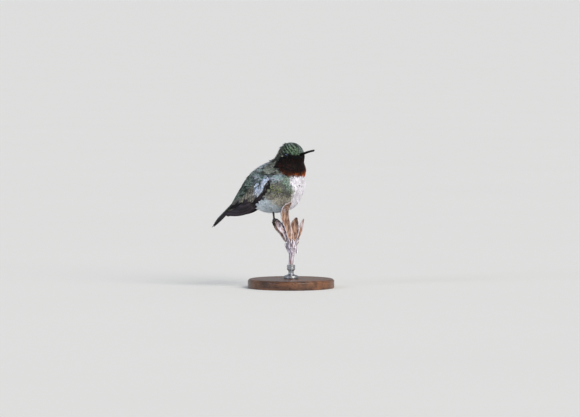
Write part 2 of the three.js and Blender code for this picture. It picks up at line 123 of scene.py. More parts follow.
class Spline:
    """A smooth curve through points, read by its share of length."""

    samples_per_span = 24

    def __init__(self, points: Sequence[Sequence[float]]) -> None:
        """Samples a centripetal Catmull-Rom curve through the points.

        Args:
            points: The points in order.
        """
        p = np.array(points, float)
        p = np.vstack([2 * p[0] - p[1], p, 2 * p[-1] - p[-2]])
        samples = []
        for i in range(1, len(p) - 2):
            knots = [0.0]
            for a, b in ((i - 1, i), (i, i + 1), (i + 1, i + 2)):
                knots.append(knots[-1] + max(np.linalg.norm(p[b] - p[a]), 1e-6) ** 0.5)
            t = np.linspace(knots[1], knots[2], self.samples_per_span, endpoint=i == len(p) - 3)[:, None]
            rows = list(p[i - 1 : i + 3])
            for starts, stops in ((knots[:3], knots[1:]), (knots[:2], knots[2:]), (knots[1:2], knots[2:3])):
                rows = [
                    (stop - t) / (stop - start) * a + (t - start) / (stop - start) * b
                    for start, stop, a, b in zip(starts, stops, rows, rows[1:])
                ]
            samples.append(rows[0])
        self.points = np.vstack(samples)
        steps = np.linalg.norm(np.diff(self.points, axis=0), axis=1)
        self.length = float(steps.sum())
        self.shares = np.concatenate([[0.0], np.cumsum(steps)]) / self.length

    def at(self, share: Array | float) -> Array:
        """The points at these shares of the curve's length."""
        s = np.atleast_1d(share)
        return np.stack([np.interp(s, self.shares, self.points[:, i]) for i in range(3)], axis=-1)

    def ahead(self, share: Array | float) -> Array:
        """The curve's direction at these shares of its length."""
        s = np.atleast_1d(share)
        return unit(self.at(np.minimum(s + 0.01, 1.0)) - self.at(np.maximum(s - 0.01, 0.0)))


# -------------------- the body's form


@dataclass(frozen=True)
class Mass:
    """One rounded mass of flesh and plumage."""

    name: str
    at: Triple
    radii: Triple
    pitch: float
    blend: float
    on_head: bool = False


@dataclass(frozen=True)
class Eyeball:
    """Where the eyes sit in the head's own forward, left and up directions."""

    forward: float = 3.05
    side: float = 4.88
    up: float = 0.3
    radius: float = 1.75


@dataclass(frozen=True)
class Form:
    """The outline of the plumage: soft-joined masses, read as a distance field."""

    head_at: Pair = (-0.2, 27.3)
    head_turn: float = -42.0
    bill_root: Triple = (8.9, 0.0, 0.1)
    tail_end: Triple = (-44.0, 0.0, -11.0)
    reach: float = 0.05
    eye: Eyeball = Eyeball()
    # each mass: name, place, half sizes, pitch, blend with those before it, whether it turns with the head
    masses: tuple[Mass, ...] = (
        Mass("skull", (0.7, 0, 0.3), (7.9, 6.8, 7.3), 0, 0.1, True),
        Mass("face", (5.2, 0, -0.8), (5.2, 3.9, 4.2), 0, 2.5, True),
        Mass("throat", (1.9, 0, -7.7), (7.4, 7.6, 5.6), 0, 3.2, True),
        Mass("neck", (-5.6, 0, 19.4), (8.7, 8.0, 7.2), 20, 4.5),
        Mass("breast", (-4.6, 0, 11.6), (12.6, 11.2, 11.2), -12, 4.0),
        Mass("underbreast", (-2.6, 0, 4.6), (7.4, 6.6, 7.0), 0, 3.0),
        Mass("belly", (-11.6, 0, 5.6), (12.4, 11.2, 10.0), -4, 5.0),
        Mass("mantle", (-16.0, 0, 12.6), (10.8, 9.6, 8.2), 38, 5.0),
        Mass("rump", (-24.4, 0, 5.4), (9.6, 6.4, 5.4), 50, 5.0),
        Mass("coverts", (-31.2, 0, -0.4), (8.0, 2.9, 2.4), 50, 3.0),
    )

    def on_head(self, forward: float, left: float, up: float) -> Array:
        """The point that lies forward, left and up of the middle of the turned head."""
        x, y = turned(forward, left, -self.head_turn)
        return vec(self.head_at[0] + x, y, self.head_at[1] + up)

    def head_parts(self, p: Array) -> tuple[Array, Array, Array]:
        """How far points lie forward, left and up of the middle of the head."""
        forward, left = turned(p[..., 0] - self.head_at[0], p[..., 1], self.head_turn)
        return forward, left, p[..., 2] - self.head_at[1]

    def eye_at(self, side: int) -> Array:
        """The middle of the eye on the left (1) or right (-1)."""
        return self.on_head(self.eye.forward, side * self.eye.side, self.eye.up)

    def distance(self, p: Array) -> Array:
        """Signed distance, near enough, from points to the outline.

        Args:
            p: The points.

        Returns:
            The distances, negative inside.
        """
        joined: Optional[Array] = None
        for mass in self.masses:
            centre = self.on_head(*mass.at) if mass.on_head else vec(*mass.at)
            d = p - centre
            forward, left = turned(d[..., 0], d[..., 1], self.head_turn if mass.on_head else 0.0)
            along, up = turned(forward, d[..., 2], mass.pitch)
            rx, ry, rz = mass.radii
            near = np.sqrt((along / rx) ** 2 + (left / ry) ** 2 + (up / rz) ** 2)
            steep = np.sqrt((along / rx**2) ** 2 + (left / ry**2) ** 2 + (up / rz**2) ** 2)
            own = near * (near - 1.0) / np.maximum(steep, 1e-9)
            if joined is None:
                joined = own
                continue
            share = np.clip(0.5 + 0.5 * (own - joined) / mass.blend, 0.0, 1.0)
            joined = mix(own, joined, share) - mass.blend * share * (1.0 - share)
        return joined

    def slope(self, p: Array) -> Array:
        """The direction in which the distance grows.

        Args:
            p: The points.

        Returns:
            A direction for each point.
        """
        here = self.distance(p)
        steps = [self.distance(p + self.reach * axis) - here for axis in np.eye(3)]
        return unit(np.stack(steps, axis=-1))

    def settle(self, p: Array, level: Array) -> tuple[Array, Array]:
        """Moves points to a level of the distance field.

        Args:
            p: The points.
            level: The signed distance they are brought to.

        Returns:
            The points and the field's outward direction there.
        """
        p = p - (self.distance(p) - level)[..., None] * self.slope(p)
        return p, self.slope(p)

    def half_width(self, x: Array, z: Array) -> Array:
        """How far the outline stands out sideways.

        Args:
            x: Places along the body.
            z: Heights.

        Returns:
            The half widths, 0 where there is no body.
        """
        start, pace, near = 16.0, 0.7, 0.05
        y = np.full(np.shape(x), start)
        for _ in range(40):
            y = np.maximum(y - pace * np.maximum(self.distance(np.stack([x, y, z], axis=-1)), 0.0), 0.0)
        return np.where(self.distance(np.stack([x, y, z], axis=-1)) < near, y, 0.0)

    def ends(self) -> tuple[Array, Array]:
        """The bill's root and the tail's end, between which the feathers lie."""
        return self.on_head(*self.bill_root), vec(*self.tail_end)

    def flow(self, p: Array) -> Array:
        """The way the feathers lie: out from the bill's root and in to the tail.

        Args:
            p: The points.

        Returns:
            A direction for each point.
        """
        start, stop = self.ends()
        out, back = p - start, stop - p
        return unit(out / (out**2).sum(-1, keepdims=True) + back / (back**2).sum(-1, keepdims=True))

    def around(self, p: Array) -> Array:
        """The turn about the line from bill to tail, which hardly changes along the lie.

        Args:
            p: The points.

        Returns:
            A share of a whole turn for each point.
        """
        start, stop = self.ends()
        axis = unit(stop - start)
        up = unit(UP - (UP @ axis) * axis)
        d = p - start
        return (np.arctan2(d @ np.cross(axis, up), d @ up) / math.tau) % 1.0

    def unwrap(self, p: Array) -> Array:
        """Places on the skin laid flat: the turn about the line from bill to tail, and the way along it.

        Args:
            p: Points on or near the skin.

        Returns:
            Two numbers for each point, both from 0 to 1.
        """
        start, stop = self.ends()
        near = np.linalg.norm(p - start, axis=-1)
        far = np.linalg.norm(p - stop, axis=-1)
        along = np.clip(0.5 + 0.16 * np.log(near / far), 0.0, 1.0)
        middle = start + (stop - start) * np.clip((p[..., :1] - start[0]) / (stop[0] - start[0]), 0, 1)
        d = p - middle
        return np.stack([(np.arctan2(d[..., 1], d[..., 2]) / math.tau) % 1.0, along], axis=-1)


FORM = Form()

MARKS = (
    "green", "mantle", "crown", "brow", "nape", "collar", "apron", "pale", "white", "teal", "patch", "buff",
    "vent", "undertail", "bend", "mask", "gorget", "ember", "spot",
)

# The ruffled tufts: how far forward, aside and up of the middle of the head each is.
TUFTS: tuple[Triple, ...] = ((-1.8, 2.5, 6.3), (-3.0, 4.2, 4.9))

WING_EDGE = Spline((
    (-5.6, 8.6, 18.0), (-10.6, 10.7, 12.2), (-14.1, 10.7, 5.0), (-17.8, 9.2, -0.6),
    (-22.1, 7.6, -4.2), (-27.6, 6.3, -6.1), (-37.2, 4.9, -7.0),
))

# A folded wing's bare part: a share along its leading edge, and how far behind the edge it starts and stops.
WING_BARE = np.array((
    (0.12, -1.2, 1.4), (0.17, -1.7, 2.1), (0.205, -2.6, 1.9), (0.24, -2.5, 1.0), (0.3, -1.7, 1.5),
    (0.34, -1.2, 2.4), (0.38, -1.1, 3.2), (0.45, -0.5, 3.8), (0.48, -0.1, 4.1), (0.53, 0.9, 4.6),
    (0.58, 1.2, 4.8), (0.62, -0.9, 4.6), (0.97, -0.9, 4.4),
))


def wing_bare(share: Array) -> tuple[Array, Array]:
    """Where a folded wing's bare part starts and stops behind its leading edge, at shares along the edge.

    Args:
        share: Shares of the length of the wing's leading edge.

    Returns:
        The two distances, with the wander that the tufts beside the bare part give to its edges.
    """
    along, starts, stops = WING_BARE.T
    ragged = ease(share, 0.12, 0.17) * ease(share, 0.56, 0.48)
    low = ragged * (0.45 * np.sin(share * 128) + 0.3 * np.sin(share * 71 + 2))
    high = ragged * (0.5 * np.sin(share * 109 + 1) + 0.35 * np.sin(share * 61))
    return np.interp(share, along, starts) + low, np.interp(share, along, stops) + high


def wing_edge(share: Array) -> tuple[Array, Array]:
    """Points of the wing's leading edge at shares of its length, and its way there in a side view."""
    return WING_EDGE.at(share), unit(WING_EDGE.ahead(share) * vec(1, 0, 1))


def wing_place(p: Array) -> tuple[Array, Array]:
    """Where points lie on a folded wing, seen from the side.

    Args:
        p: Points.

    Returns:
        The nearest share along the wing's leading edge, and how far behind the edge each lies.
    """
    t = np.linspace(0, 1, 80)
    at, ahead = wing_edge(t)
    gap = p[..., None, ::2] - at[:, ::2]
    near = (gap**2).sum(-1).argmin(-1)
    gap = p - at[near]
    return t[near], gap[..., 0] * ahead[near, 2] - gap[..., 2] * ahead[near, 0]


def crest(p: Array) -> Array:
    """How strongly points belong to the few ruffled tufts at the back of the crown, from 0 to 1."""
    middles = [FORM.on_head(forward, side * left, up) for forward, left, up in TUFTS for side in (-1, 1)]
    return ease(np.min([np.linalg.norm(p - middle, axis=-1) for middle in middles], axis=0), 1.5, 0.6)


def markings(p: Array) -> dict[str, Array]:
    """How strongly each marking of the plumage shows at points on the bird.

    Each ease() gives where a marking starts and where it is full, in millimetres or degrees. Some marks are
    painted light: the one by the folded wing's edge and the rump is painted shade, the ember is painted
    glint, and the brow's top and the mantle are partly painted sheen.

    Args:
        p: Points on or near the outline.

    Returns:
        A share from 0 to 1 for each name in MARKS.
    """
    x, y, z = p[..., 0], np.abs(p[..., 1]), p[..., 2]
    forward, left, up = FORM.head_parts(p)
    tuft = crest(p)
    turn = np.degrees(np.arctan2(np.abs(left), forward))  # 0 towards the bill, 180 at the nape
    bearing = np.degrees(np.arctan2(y, x + 4.6))  # 0 at the middle of the breast
    above = (x + 12) * -0.37 + (z - 9) * 0.93
    roll = np.degrees(np.arctan2(y, above))  # 0 along the back, 180 along the belly

    foot = 16.7 + 1.3 * ease(turn, 40, 66)  # the gorget's lower edge
    flank = np.clip(62 + 4.9 * (z - 17.8), 55, 100)  # and its side
    brow = 0.9 + 0.9 * ease(turn, 20, 58) - 4.6 * ease(turn, 66, 104)
    jaw = -0.8 - 3.0 * ease(turn, 45, 105)
    on_head = ease(z, 15.5, 17.5) * ease(x, -12.5, -9.0)
    gorget = ease(jaw - up, -0.35, 0.35) * ease(z - foot, -0.3, 0.3) * ease(turn - flank, 3, -3) * on_head
    crown = ease(up - brow, -0.35, 0.35)
    mask = (1 - crown) * ease(turn, 104, 90) * ease(up, -7.5, -6.0) * on_head
    signed = np.degrees(np.arctan2(left, forward))
    # The ember is the gorget's orange flash, which in life comes from light glancing off the feathers. Here
    # it is painted glint, fixed at the lower edge and strongest (glow) on the side the key lamp lights.
    rim = ease(z, foot + 3.0, foot + 0.2)
    glow = ease(signed, 12, 60) * ease(z, 25.0, 18.5)
    patchy = 0.66 + 0.34 * np.sin(signed * 0.21 + 0.8 * z) * np.sin(signed * 0.11 - 1.4 * z + 1.0)
    ember = gorget * np.clip(rim * patchy * (0.22 + 0.78 * ease(signed, -62, 24)) + 0.75 * glow, 0, 1)

    back = np.maximum(ease(roll, 88, 70), ease(z, 20.0, 23.0)) * ease(bearing, 62, 84)
    green = np.maximum(back, crown * on_head)
    edge = 57 - 12 * ease(z, 14, 7) + 4 * ease(z, 3, 0)  # the white breast's side
    edge = edge + 2.5 * np.sin(z * 2.1 + 0.6) + 2.0 * np.sin(z * 4.7 + x * 1.3)
    front = ease(z, 18.4, 16.9) * (1 - back)
    white = ease(bearing, edge + 9, edge - 8) * front
    beyond = ease(bearing, edge - 4, edge + 8) * ease(bearing, edge + 34, edge + 14)
    teal = 0.8 * beyond * ease(z, 5, 11) * front
    low = (-8 - x) * 0.30 + (4.2 - z) * 0.5
    pale = ease(low, 0.4, 2.4) * ease(roll, 92, 112)
    spots = [np.linalg.norm(p - FORM.on_head(1.75, s * 6.1, 0.2), axis=-1) for s in (-1, 1)]
    share, across = wing_place(p)
    low_edge, top_edge = wing_bare(share)
    # Painted shade: the cleft along the folded wing's leading edge, and the body's side by the rump, are
    # coloured near black where shade falls.
    bend = ease(share, 0.1, 0.16) * ease(share, 0.66, 0.5) * ease(y, 4.0, 6.0)
    bend = bend * ease(across, low_edge + 0.3, low_edge + 0.8) * ease(across, top_edge, top_edge - 0.8)
    lobes = np.maximum(blob(x, z, (-12.6, 13.6), (3.4, 2.1), 55), blob(x, z, (-15.6, 10.2), (4.6, 2.2), 66))
    lobes = np.maximum(lobes, 0.5 * blob(x, z, (-20.2, 6.0), (3.4, 1.4), 60))
    beside = ease(x, -23.5, -26.5) * ease(roll, 84, 104) * ease(roll, 150, 125)  # by the rump
    front_of_head = 0.85 * ease(forward, 3.4, 6.2) * ease(left, -1.6, 1.2)
    nape = ease(turn, 62, 90) * ease(z, 19, 22) * ease(x, -12.5, -9.5) * (1 - 0.5 * ease(up, 4.6, 6.4))
    behind_throat = ease(turn - flank, -1, 4) * ease(turn, 122, 108)
    return {
        "green": green,
        # Partly painted sheen: the upper back and the crest's tufts take pale lilac-grey rims, which are the
        # fringes' own paler tone and the sheen where light falls on the top of the back.
        "mantle": np.maximum(back * ease(z, 9.5, 14.0) * ease(x, -22.0, -18.0), 0.7 * tuft),
        "crown": crown * on_head * ease(turn, 120, 92) * (1 - tuft),
        # The brow is the forehead's pale grey feathers, and a paler top to the crown that is painted sheen
        # where light falls from above.
        "brow": crown * on_head * np.maximum(front_of_head, 0.7 * ease(up, 4.8, 6.6)),
        "nape": nape * (1 - tuft),
        "collar": behind_throat * ease(up, -0.5, -2.5) * ease(z, 16.5, 18.0),
        "apron": ease(z, 7.0, 2.6) * (1 - back),
        "pale": pale,
        "white": white,
        "teal": teal,
        "patch": lobes * ease(y, 5.5, 7.5) * ease(across, top_edge - 1.2, top_edge - 0.6),
        "buff": blob(x, z, (-20.6, 6.6), (4.6, 3.0), 58) * ease(y, 3.0, 4.5),
        "vent": ease(np.hypot((x + 18.2) * 0.9, z + 0.9), 4.4, 2.4),
        "undertail": ease(x, -21.0, -24.0) * ease(roll, 95, 125),
        "bend": np.maximum(bend, beside),
        "mask": mask,
        "gorget": gorget,
        "ember": ember,
        "spot": ease(np.minimum(*spots), 0.8, 0.4),
    }


# -------------------- meshes


@dataclass
class Shape:
    """Points, four-sided faces and what is stored at each point, in the bird's frame."""

    points: Array
    faces: Array
    values: dict[str, Array] = field(default_factory=dict)
    flat: Optional[Array] = None

    @staticmethod
    def join(shapes: Sequence["Shape"]) -> "Shape":
        """Several shapes as one.

        Args:
            shapes: The shapes, which carry the same values.

        Returns:
            The one shape.
        """
        starts = np.cumsum([0] + [len(s.points) for s in shapes[:-1]])
        names = shapes[0].values
        return Shape(
            np.vstack([s.points for s in shapes]),
            np.vstack([s.faces + start for s, start in zip(shapes, starts)]),
            {n: np.concatenate([s.values[n] for s in shapes]) for n in names},
            None if shapes[0].flat is None else np.vstack([s.flat for s in shapes]),
        )

    def build(self, name: str, material: Material, slot: str, *nodes: str) -> Piece:
        """Makes the mesh object, rides it on the model and hides the solids that it replaces.

        Args:
            name: The piece's name.
            material: Its material.
            slot: The record's material slot for its finish; not used.
            nodes: The solids that it replaces.

        Returns:
            The new object.
        """
        mesh = bpy.data.meshes.new(name)
        mesh.from_pydata((self.points + LIFT * UP) * MM, [], self.faces)
        mesh.polygons.foreach_set("use_smooth", np.ones(len(mesh.polygons), bool))
        for key, value in self.values.items():
            mesh.attributes.new(key, "FLOAT", "POINT").data.foreach_set("value", value.astype(np.float32))
        if self.flat is not None:
            corners = np.empty(len(mesh.loops), np.int32)
            mesh.loops.foreach_get("vertex_index", corners)
            layer = mesh.uv_layers.new(name="OFBake")
            layer.data.foreach_set("uv", self.flat[corners].astype(np.float32).ravel())
        mesh.materials.append(material)
        piece = bpy.data.objects.new(name, mesh)
        bpy.context.scene.collection.objects.link(piece)
        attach(piece, "root")
        if nodes:
            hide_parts(*nodes)
        log.info("%s: %d faces", name, len(mesh.polygons))
        return piece


def grid_faces(rows: int, columns: int, round_columns: bool = False) -> Array:
    """The faces of a grid of points.

    Args:
        rows: How many rows it has.
        columns: How many points each row has.
        round_columns: Whether each row's end joins its start.

    Returns:
        Four-sided faces, as numbers of points.
    """
    across = columns if round_columns else columns - 1
    r, c = np.meshgrid(np.arange(rows - 1), np.arange(across), indexing="ij")
    a = (r * columns + c).ravel()
    b = (r * columns + (c + 1) % columns).ravel()
    return np.stack([a, b, b + columns, a + columns], axis=-1)


def closed(grid: Array, values: Optional[dict[str, Array]] = None) -> Shape:
    """Closes both ends of a round grid with a middle point each, in four-sided faces that share it.

    Args:
        grid: The grid's points, in rows of an even number.
        values: What is stored at each, in grids of the same size.

    Returns:
        The closed shape, with the mean of the end rows' values at its two middles.
    """
    rows, columns = grid.shape[:2]
    faces = [grid_faces(rows, columns, True)]
    for n, row in enumerate((0, rows - 1)):
        pairs = (np.arange(columns) + row * columns).reshape(-1, 2)
        middle = np.full(len(pairs), rows * columns + n)
        quads = np.stack([pairs[:, 0], pairs[:, 1], np.roll(pairs[:, 0], -1), middle], axis=-1)
        faces.append(quads[:, ::-1] if n == 0 else quads)
    points = np.vstack([grid.reshape(-1, 3), grid[0].mean(0), grid[-1].mean(0)])
    stored = {k: np.concatenate([v.ravel(), [v[0].mean(), v[-1].mean()]]) for k, v in (values or {}).items()}
    return Shape(points, np.vstack(faces), stored)


def two_faced(low: float, high: float, columns: int) -> tuple[Array, Array]:
    """The columns of a thin closed leaf, from low to high and back, and which are on its second face."""
    over = np.linspace(low, high, columns)
    return np.concatenate([over, over[::-1]])[None], np.repeat([0.0, 1.0], columns)[None]


def tube(
    curve: Spline,
    rows: int,
    columns: int,
    offset: Callable[[Array, Array], tuple[Array, Array]],
    upwards: Array = UP,
    values: Optional[Callable[[Array, Array], dict[str, Array]]] = None,
) -> Shape:
    """A closed tube along a curve.

    Args:
        curve: Its middle line.
        rows: How many rings it has.
        columns: How many points each ring has; even.
        offset: How far the skin stands off sideways and upwards at a share of length and a turn.
        upwards: The rough direction of up, across the curve.
        values: What is stored at each point.

    Returns:
        The tube.
    """
    t = np.linspace(0, 1, rows)
    centre, ahead = curve.at(t), curve.ahead(t)
    side = unit(np.cross(upwards, ahead))
    up = np.cross(ahead, side)
    turn = np.linspace(0, math.tau, columns, endpoint=False)
    tt, aa = np.meshgrid(t, turn, indexing="ij")
    sideways, above = offset(tt, aa)
    points = centre[:, None] + side[:, None] * sideways[..., None] + up[:, None] * above[..., None]
    return closed(points, values(tt, aa) if values is not None else None)


def lathe(profile: Sequence[Pair], columns: int) -> Shape:
    """A closed shape turned about the stand's axis.

    Args:
        profile: Its outline, in pairs of radius and height over the floor.
        columns: How many points go round it.

    Returns:
        The shape.
    """
    turn = np.linspace(0, math.tau, columns, endpoint=False)
    r, z = np.array(profile, float).T
    parts = [np.outer(r, np.cos(turn)), np.outer(r, np.sin(turn)), np.outer(z - LIFT, turn * 0 + 1)]
    return closed(np.stack(parts, axis=-1))


def net(distance: Callable[[Array], Array], low: Array, high: Array, step: float) -> Shape:
    """The closed surface where a distance function is zero, as an even mesh.

    Args:
        distance: The function, of an array of points.
        low: The lowest corner of the space searched.
        high: Its highest corner.
        step: The mesh's fineness.

    Returns:
        The surface.
    """
    counts = np.ceil((high - low) / step).astype(int) + 1
    axes = [low[i] + step * np.arange(counts[i]) for i in range(3)]
    grid = np.stack(np.meshgrid(*axes, indexing="ij"), axis=-1)
    inside = distance(grid) < 0
    total = sum(
        inside[i : i - 1 or None, j : j - 1 or None, k : k - 1 or None].astype(int)
        for i in (0, 1) for j in (0, 1) for k in (0, 1)
    )
    cells = np.argwhere((total > 0) & (total < 8))
    number = np.full(total.shape, -1)
    number[tuple(cells.T)] = np.arange(len(cells))
    points = low + step * (cells + 0.5)
    for _ in range(4):
        here = distance(points)
        slope = np.stack([(distance(points + 0.02 * a) - here) / 0.02 for a in np.eye(3)], axis=-1)
        points = points - (here / np.maximum((slope**2).sum(-1), 1e-6))[:, None] * slope
    faces = []
    for axis in range(3):
        a, b = (axis + 1) % 3, (axis + 2) % 3
        nearer = np.take(inside, np.arange(counts[axis] - 1), axis)
        farther = np.take(inside, np.arange(1, counts[axis]), axis)
        edges = np.argwhere(nearer != farther)
        edges = edges[(edges[:, a] > 0) & (edges[:, b] > 0)]
        out = nearer[tuple(edges.T)]
        corners = []
        for da, db in ((0, 0), (1, 0), (1, 1), (0, 1)):
            cell = edges.copy()
            cell[:, a] -= da
            cell[:, b] -= db
            corners.append(number[tuple(cell.T)])
        quads = np.stack(corners, axis=-1)
        quads[~out] = quads[~out][:, ::-1]
        faces.append(quads)
    return Shape(points, np.vstack(faces))


# -------------------- shader tools


def paint(colour: Colour) -> tuple[float, float, float, float]:
    """An ordinary screen colour, 0 to 255, as the linear colour that shaders take."""
    linear = [c / 255 / 12.92 if c <= 10 else ((c / 255 + 0.055) / 1.055) ** 2.4 for c in colour]
    return (*linear, 1.0)


@dataclass
class Graph:
    """A shader node tree, wired by short calls."""

    tree: NodeTree

    def node(
        self, kind: str, inputs: Optional[dict[int | str, object]] = None, **settings: object
    ) -> Node:
        """Adds a node.

        Args:
            kind: Its type.
            inputs: What its inputs get, by number or name.
            settings: Its properties.

        Returns:
            The node.
        """
        made = self.tree.nodes.new(kind)
        for key, value in settings.items():
            setattr(made, key, value)
        for key, value in (inputs or {}).items():
            self.feed(made.inputs[key], value)
        return made

    def feed(self, socket: Socket, value: object) -> None:
        """Links an input to an output, or sets its number or colour.

        Args:
            socket: The input.
            value: The output, number or colour.
        """
        if isinstance(value, Socket):
            self.tree.links.new(value, socket)
        else:
            socket.default_value = value

    def wire(self, node: Node, **inputs: object) -> Node:
        """Feeds a node's inputs by name.

        Args:
            node: The node.
            inputs: What each input gets, with underscores in the inputs' names for spaces.

        Returns:
            The same node.
        """
        for key, value in inputs.items():
            self.feed(node.inputs[key.replace("_", " ")], value)
        return node

    def attribute(self, name: str) -> Socket:
        """A number stored at the mesh's points."""
        return self.node("ShaderNodeAttribute", attribute_name=name).outputs["Fac"]

    def place(self, stretch: Triple = (1, 1, 1)) -> Socket:
        """The place in the object's own coordinates, stretched along its axes."""
        given = {"Vector": self.node("ShaderNodeTexCoord").outputs["Object"], "Scale": stretch}
        return self.node("ShaderNodeMapping", given).outputs["Vector"]

    def math(self, kind: str, a: object, b: object = 0.0) -> Socket:
        """A sum, product or other step of arithmetic."""
        return self.node("ShaderNodeMath", {0: a, 1: b}, operation=kind).outputs[0]

    def mix(self, share: object, a: object, b: object, kind: str = "MIX") -> Socket:
        """The first colour, passing into the second by a share."""
        given = {0: share, 6: a, 7: b}
        return self.node("ShaderNodeMix", given, data_type="RGBA", blend_type=kind).outputs[2]

    def span(
        self, value: object, low: object, high: object, to_low: float = 0.0, to_high: float = 1.0
    ) -> Socket:
        """A soft step, from one result where the value is low to another where it is high."""
        given = dict(enumerate((value, low, high, to_low, to_high)))
        return self.node("ShaderNodeMapRange", given, interpolation_type="SMOOTHSTEP").outputs[0]

    def noise(self, scale: object, detail: float = 3.0, vector: Optional[Socket] = None) -> Socket:
        """Cloudy noise from 0 to 1, over the object's coordinates unless told otherwise."""
        given = {"Vector": vector or self.place(), "Scale": scale, "Detail": detail}
        return self.node("ShaderNodeTexNoise", given).outputs["Fac"]

    def group(self, tree: NodeTree, **inputs: object) -> Node:
        """Places a shared node group and feeds its inputs by name."""
        return self.wire(self.node("ShaderNodeGroup", node_tree=tree), **inputs)


class Effects:
    """The effects that several materials share, each a node group that is built once."""

    @staticmethod
    def _start(
        name: str, inputs: Iterable[tuple[str, str, object]], outputs: Iterable[tuple[str, str]]
    ) -> tuple[Graph, Node, Node]:
        """Starts a group.

        Args:
            name: The group's name.
            inputs: The name, socket type and usual value of each input.
            outputs: The name and socket type of each output.

        Returns:
            The group's graph, its input node and its output node.
        """
        tree = bpy.data.node_groups.new(name, "ShaderNodeTree")
        for key, kind, value in inputs:
            socket = tree.interface.new_socket(key, in_out="INPUT", socket_type=kind)
            socket.default_value = value
        for key, kind in outputs:
            tree.interface.new_socket(key, in_out="OUTPUT", socket_type=kind)
        graph = Graph(tree)
        return graph, graph.node("NodeGroupInput"), graph.node("NodeGroupOutput")

    @classmethod
    @cache
    def vane(cls) -> NodeTree:
        """A feather's own pattern.

        Returns:
            The group, which gives the rim, the barbs, the shaft and the place along the feather.
        """
        g, given, made = cls._start(
            "Vane", [("Fineness", NUMBER, 60.0)],
            [("Rim", NUMBER), ("Barbs", NUMBER), ("Shaft", NUMBER), ("Along", NUMBER)],
        )
        side = g.math("ABSOLUTE", g.attribute("vane_x"))
        along = g.attribute("vane_y")
        tip = g.math("MAXIMUM", g.math("DIVIDE", g.math("SUBTRACT", along, 0.5), 0.5), 0.0)
        reach = g.math("SQRT", g.math("ADD", g.math("POWER", side, 2.0), g.math("POWER", tip, 2.0)))
        sweep = g.math("SUBTRACT", along, g.math("MULTIPLY", side, 0.35))
        wave = g.math("SINE", g.math("MULTIPLY", sweep, given.outputs["Fineness"]))
        barbs = g.math("ADD", g.math("MULTIPLY", wave, 0.5), 0.5)
        g.wire(made, Rim=g.span(reach, 0.5, 1.0), Barbs=barbs, Shaft=g.span(side, 0.14, 0.02), Along=along)
        return g.tree

    @classmethod
    @cache
    def plumage(cls) -> NodeTree:
        """The bird's markings, each with the colour of its feathers' middles and rims.

        Returns:
            The group, which gives colour, metal and roughness.
        """
        g, given, made = cls._start(
            "Plumage", [("Rim", NUMBER, 0.3), ("Along", NUMBER, 0.8)],
            [("Colour", COLOUR), ("Metal", NUMBER), ("Roughness", NUMBER)],
        )
        rim, seed = given.outputs["Rim"], g.attribute("seed")
        other = g.math("FRACT", g.math("MULTIPLY", seed, 17.31))

        def tinted(tint: Tint) -> Socket:
            """A marking's own colour.

            Args:
                tint: The marking's tint.

            Returns:
                The colour, with its flecks.
            """
            own = g.mix(rim, paint(tint.middle), paint(tint.rim))
            if tint.fleck is None:
                return own
            return g.mix(g.math("MULTIPLY", g.span(seed, 0.5, 0.8), tint.fleck_share), own, paint(tint.fleck))

        bright = g.math("MULTIPLY", g.span(other, 0.62, 0.7), rim)
        found = g.mix(g.math("MULTIPLY", bright, 0.8), tinted(TINTS["flank"]), paint(GREEN_GLINT))
        metal: object = g.math("MULTIPLY", bright, 0.35)
        rough: object = 0.62
        for name in MARKS:
            tint, share = TINTS[name], g.attribute(f"mark_{name}")
            found = g.mix(share, found, tinted(tint))
            keep = g.math("SUBTRACT", 1.0, share)
            metal, rough = (
                g.math("ADD", g.math("MULTIPLY", under, keep), g.math("MULTIPLY", share, over))
                for under, over in ((metal, tint.metal), (rough, tint.rough))
            )
        # Darker towards each feather's root: partly the grey down there, partly painted shade under the
        # feathers that overlap it. Then a random tone for each feather and in clouds.
        shade = g.span(given.outputs["Along"], 0.0, 0.6, 0.6, 1.0)
        shade = g.math("MULTIPLY", shade, g.span(other, 0, 1, 0.84, 1.14))
        shade = g.math("MULTIPLY", shade, g.span(g.noise(260.0), 0.3, 0.7, 0.86, 1.1))
        grey = g.node("ShaderNodeCombineColor", dict.fromkeys(range(3), shade))
        g.wire(made, Colour=g.mix(1.0, found, grey.outputs[0], "MULTIPLY"), Metal=metal, Roughness=rough)
        return g.tree

    @classmethod
    @cache
    def streaks(cls) -> NodeTree:
        """Lengthwise fibres or grain: two colours, mixed by noise that is drawn out along an axis.

        Returns:
            The group, which gives colour and height.
        """
        g, given, made = cls._start(
            "Streaks",
            [
                ("Dark", COLOUR, (0, 0, 0, 1)), ("Light", COLOUR, (1, 1, 1, 1)),
                ("Stretch", VECTOR, (1, 1, 0.1)), ("Scale", NUMBER, 900.0), ("Contrast", NUMBER, 0.2),
            ],
            [("Colour", COLOUR), ("Height", NUMBER)],
        )
        places = {0: g.node("ShaderNodeTexCoord").outputs["Object"], 1: given.outputs["Stretch"]}
        product = g.node("ShaderNodeVectorMath", places, operation="MULTIPLY")
        fine = g.noise(given.outputs["Scale"], 5.0, product.outputs[0])
        low = g.math("SUBTRACT", 0.5, given.outputs["Contrast"])
        high = g.math("ADD", 0.5, given.outputs["Contrast"])
        share = g.span(fine, low, high)
        g.wire(made, Colour=g.mix(share, given.outputs["Dark"], given.outputs["Light"]), Height=fine)
        return g.tree


def streaked(
    g: Graph, dark: Colour, light: Colour, stretch: Triple, scale: float, contrast: float
) -> Node:
    """Places the shared streaks.

    Args:
        g: The material's graph.
        dark: The darker colour.
        light: The lighter colour.
        stretch: How fine the streaks are along each axis; they run along the axis with the smallest number.
        scale: How fine they are in all.
        contrast: How softly the colours pass into each other.

    Returns:
        The placed group.
    """
    colours = {"Dark": paint(dark), "Light": paint(light)}
    return g.group(Effects.streaks(), Stretch=stretch, Scale=scale, Contrast=contrast, **colours)


@dataclass(frozen=True)
class Tint:
    """The colours of one marking's feathers and how they shine."""

    middle: Colour
    rim: Colour
    metal: float = 0.0
    rough: float = 0.6
    fleck: Optional[Colour] = None
    fleck_share: float = 0.7


GREEN_GLINT: Colour = (136, 156, 74)

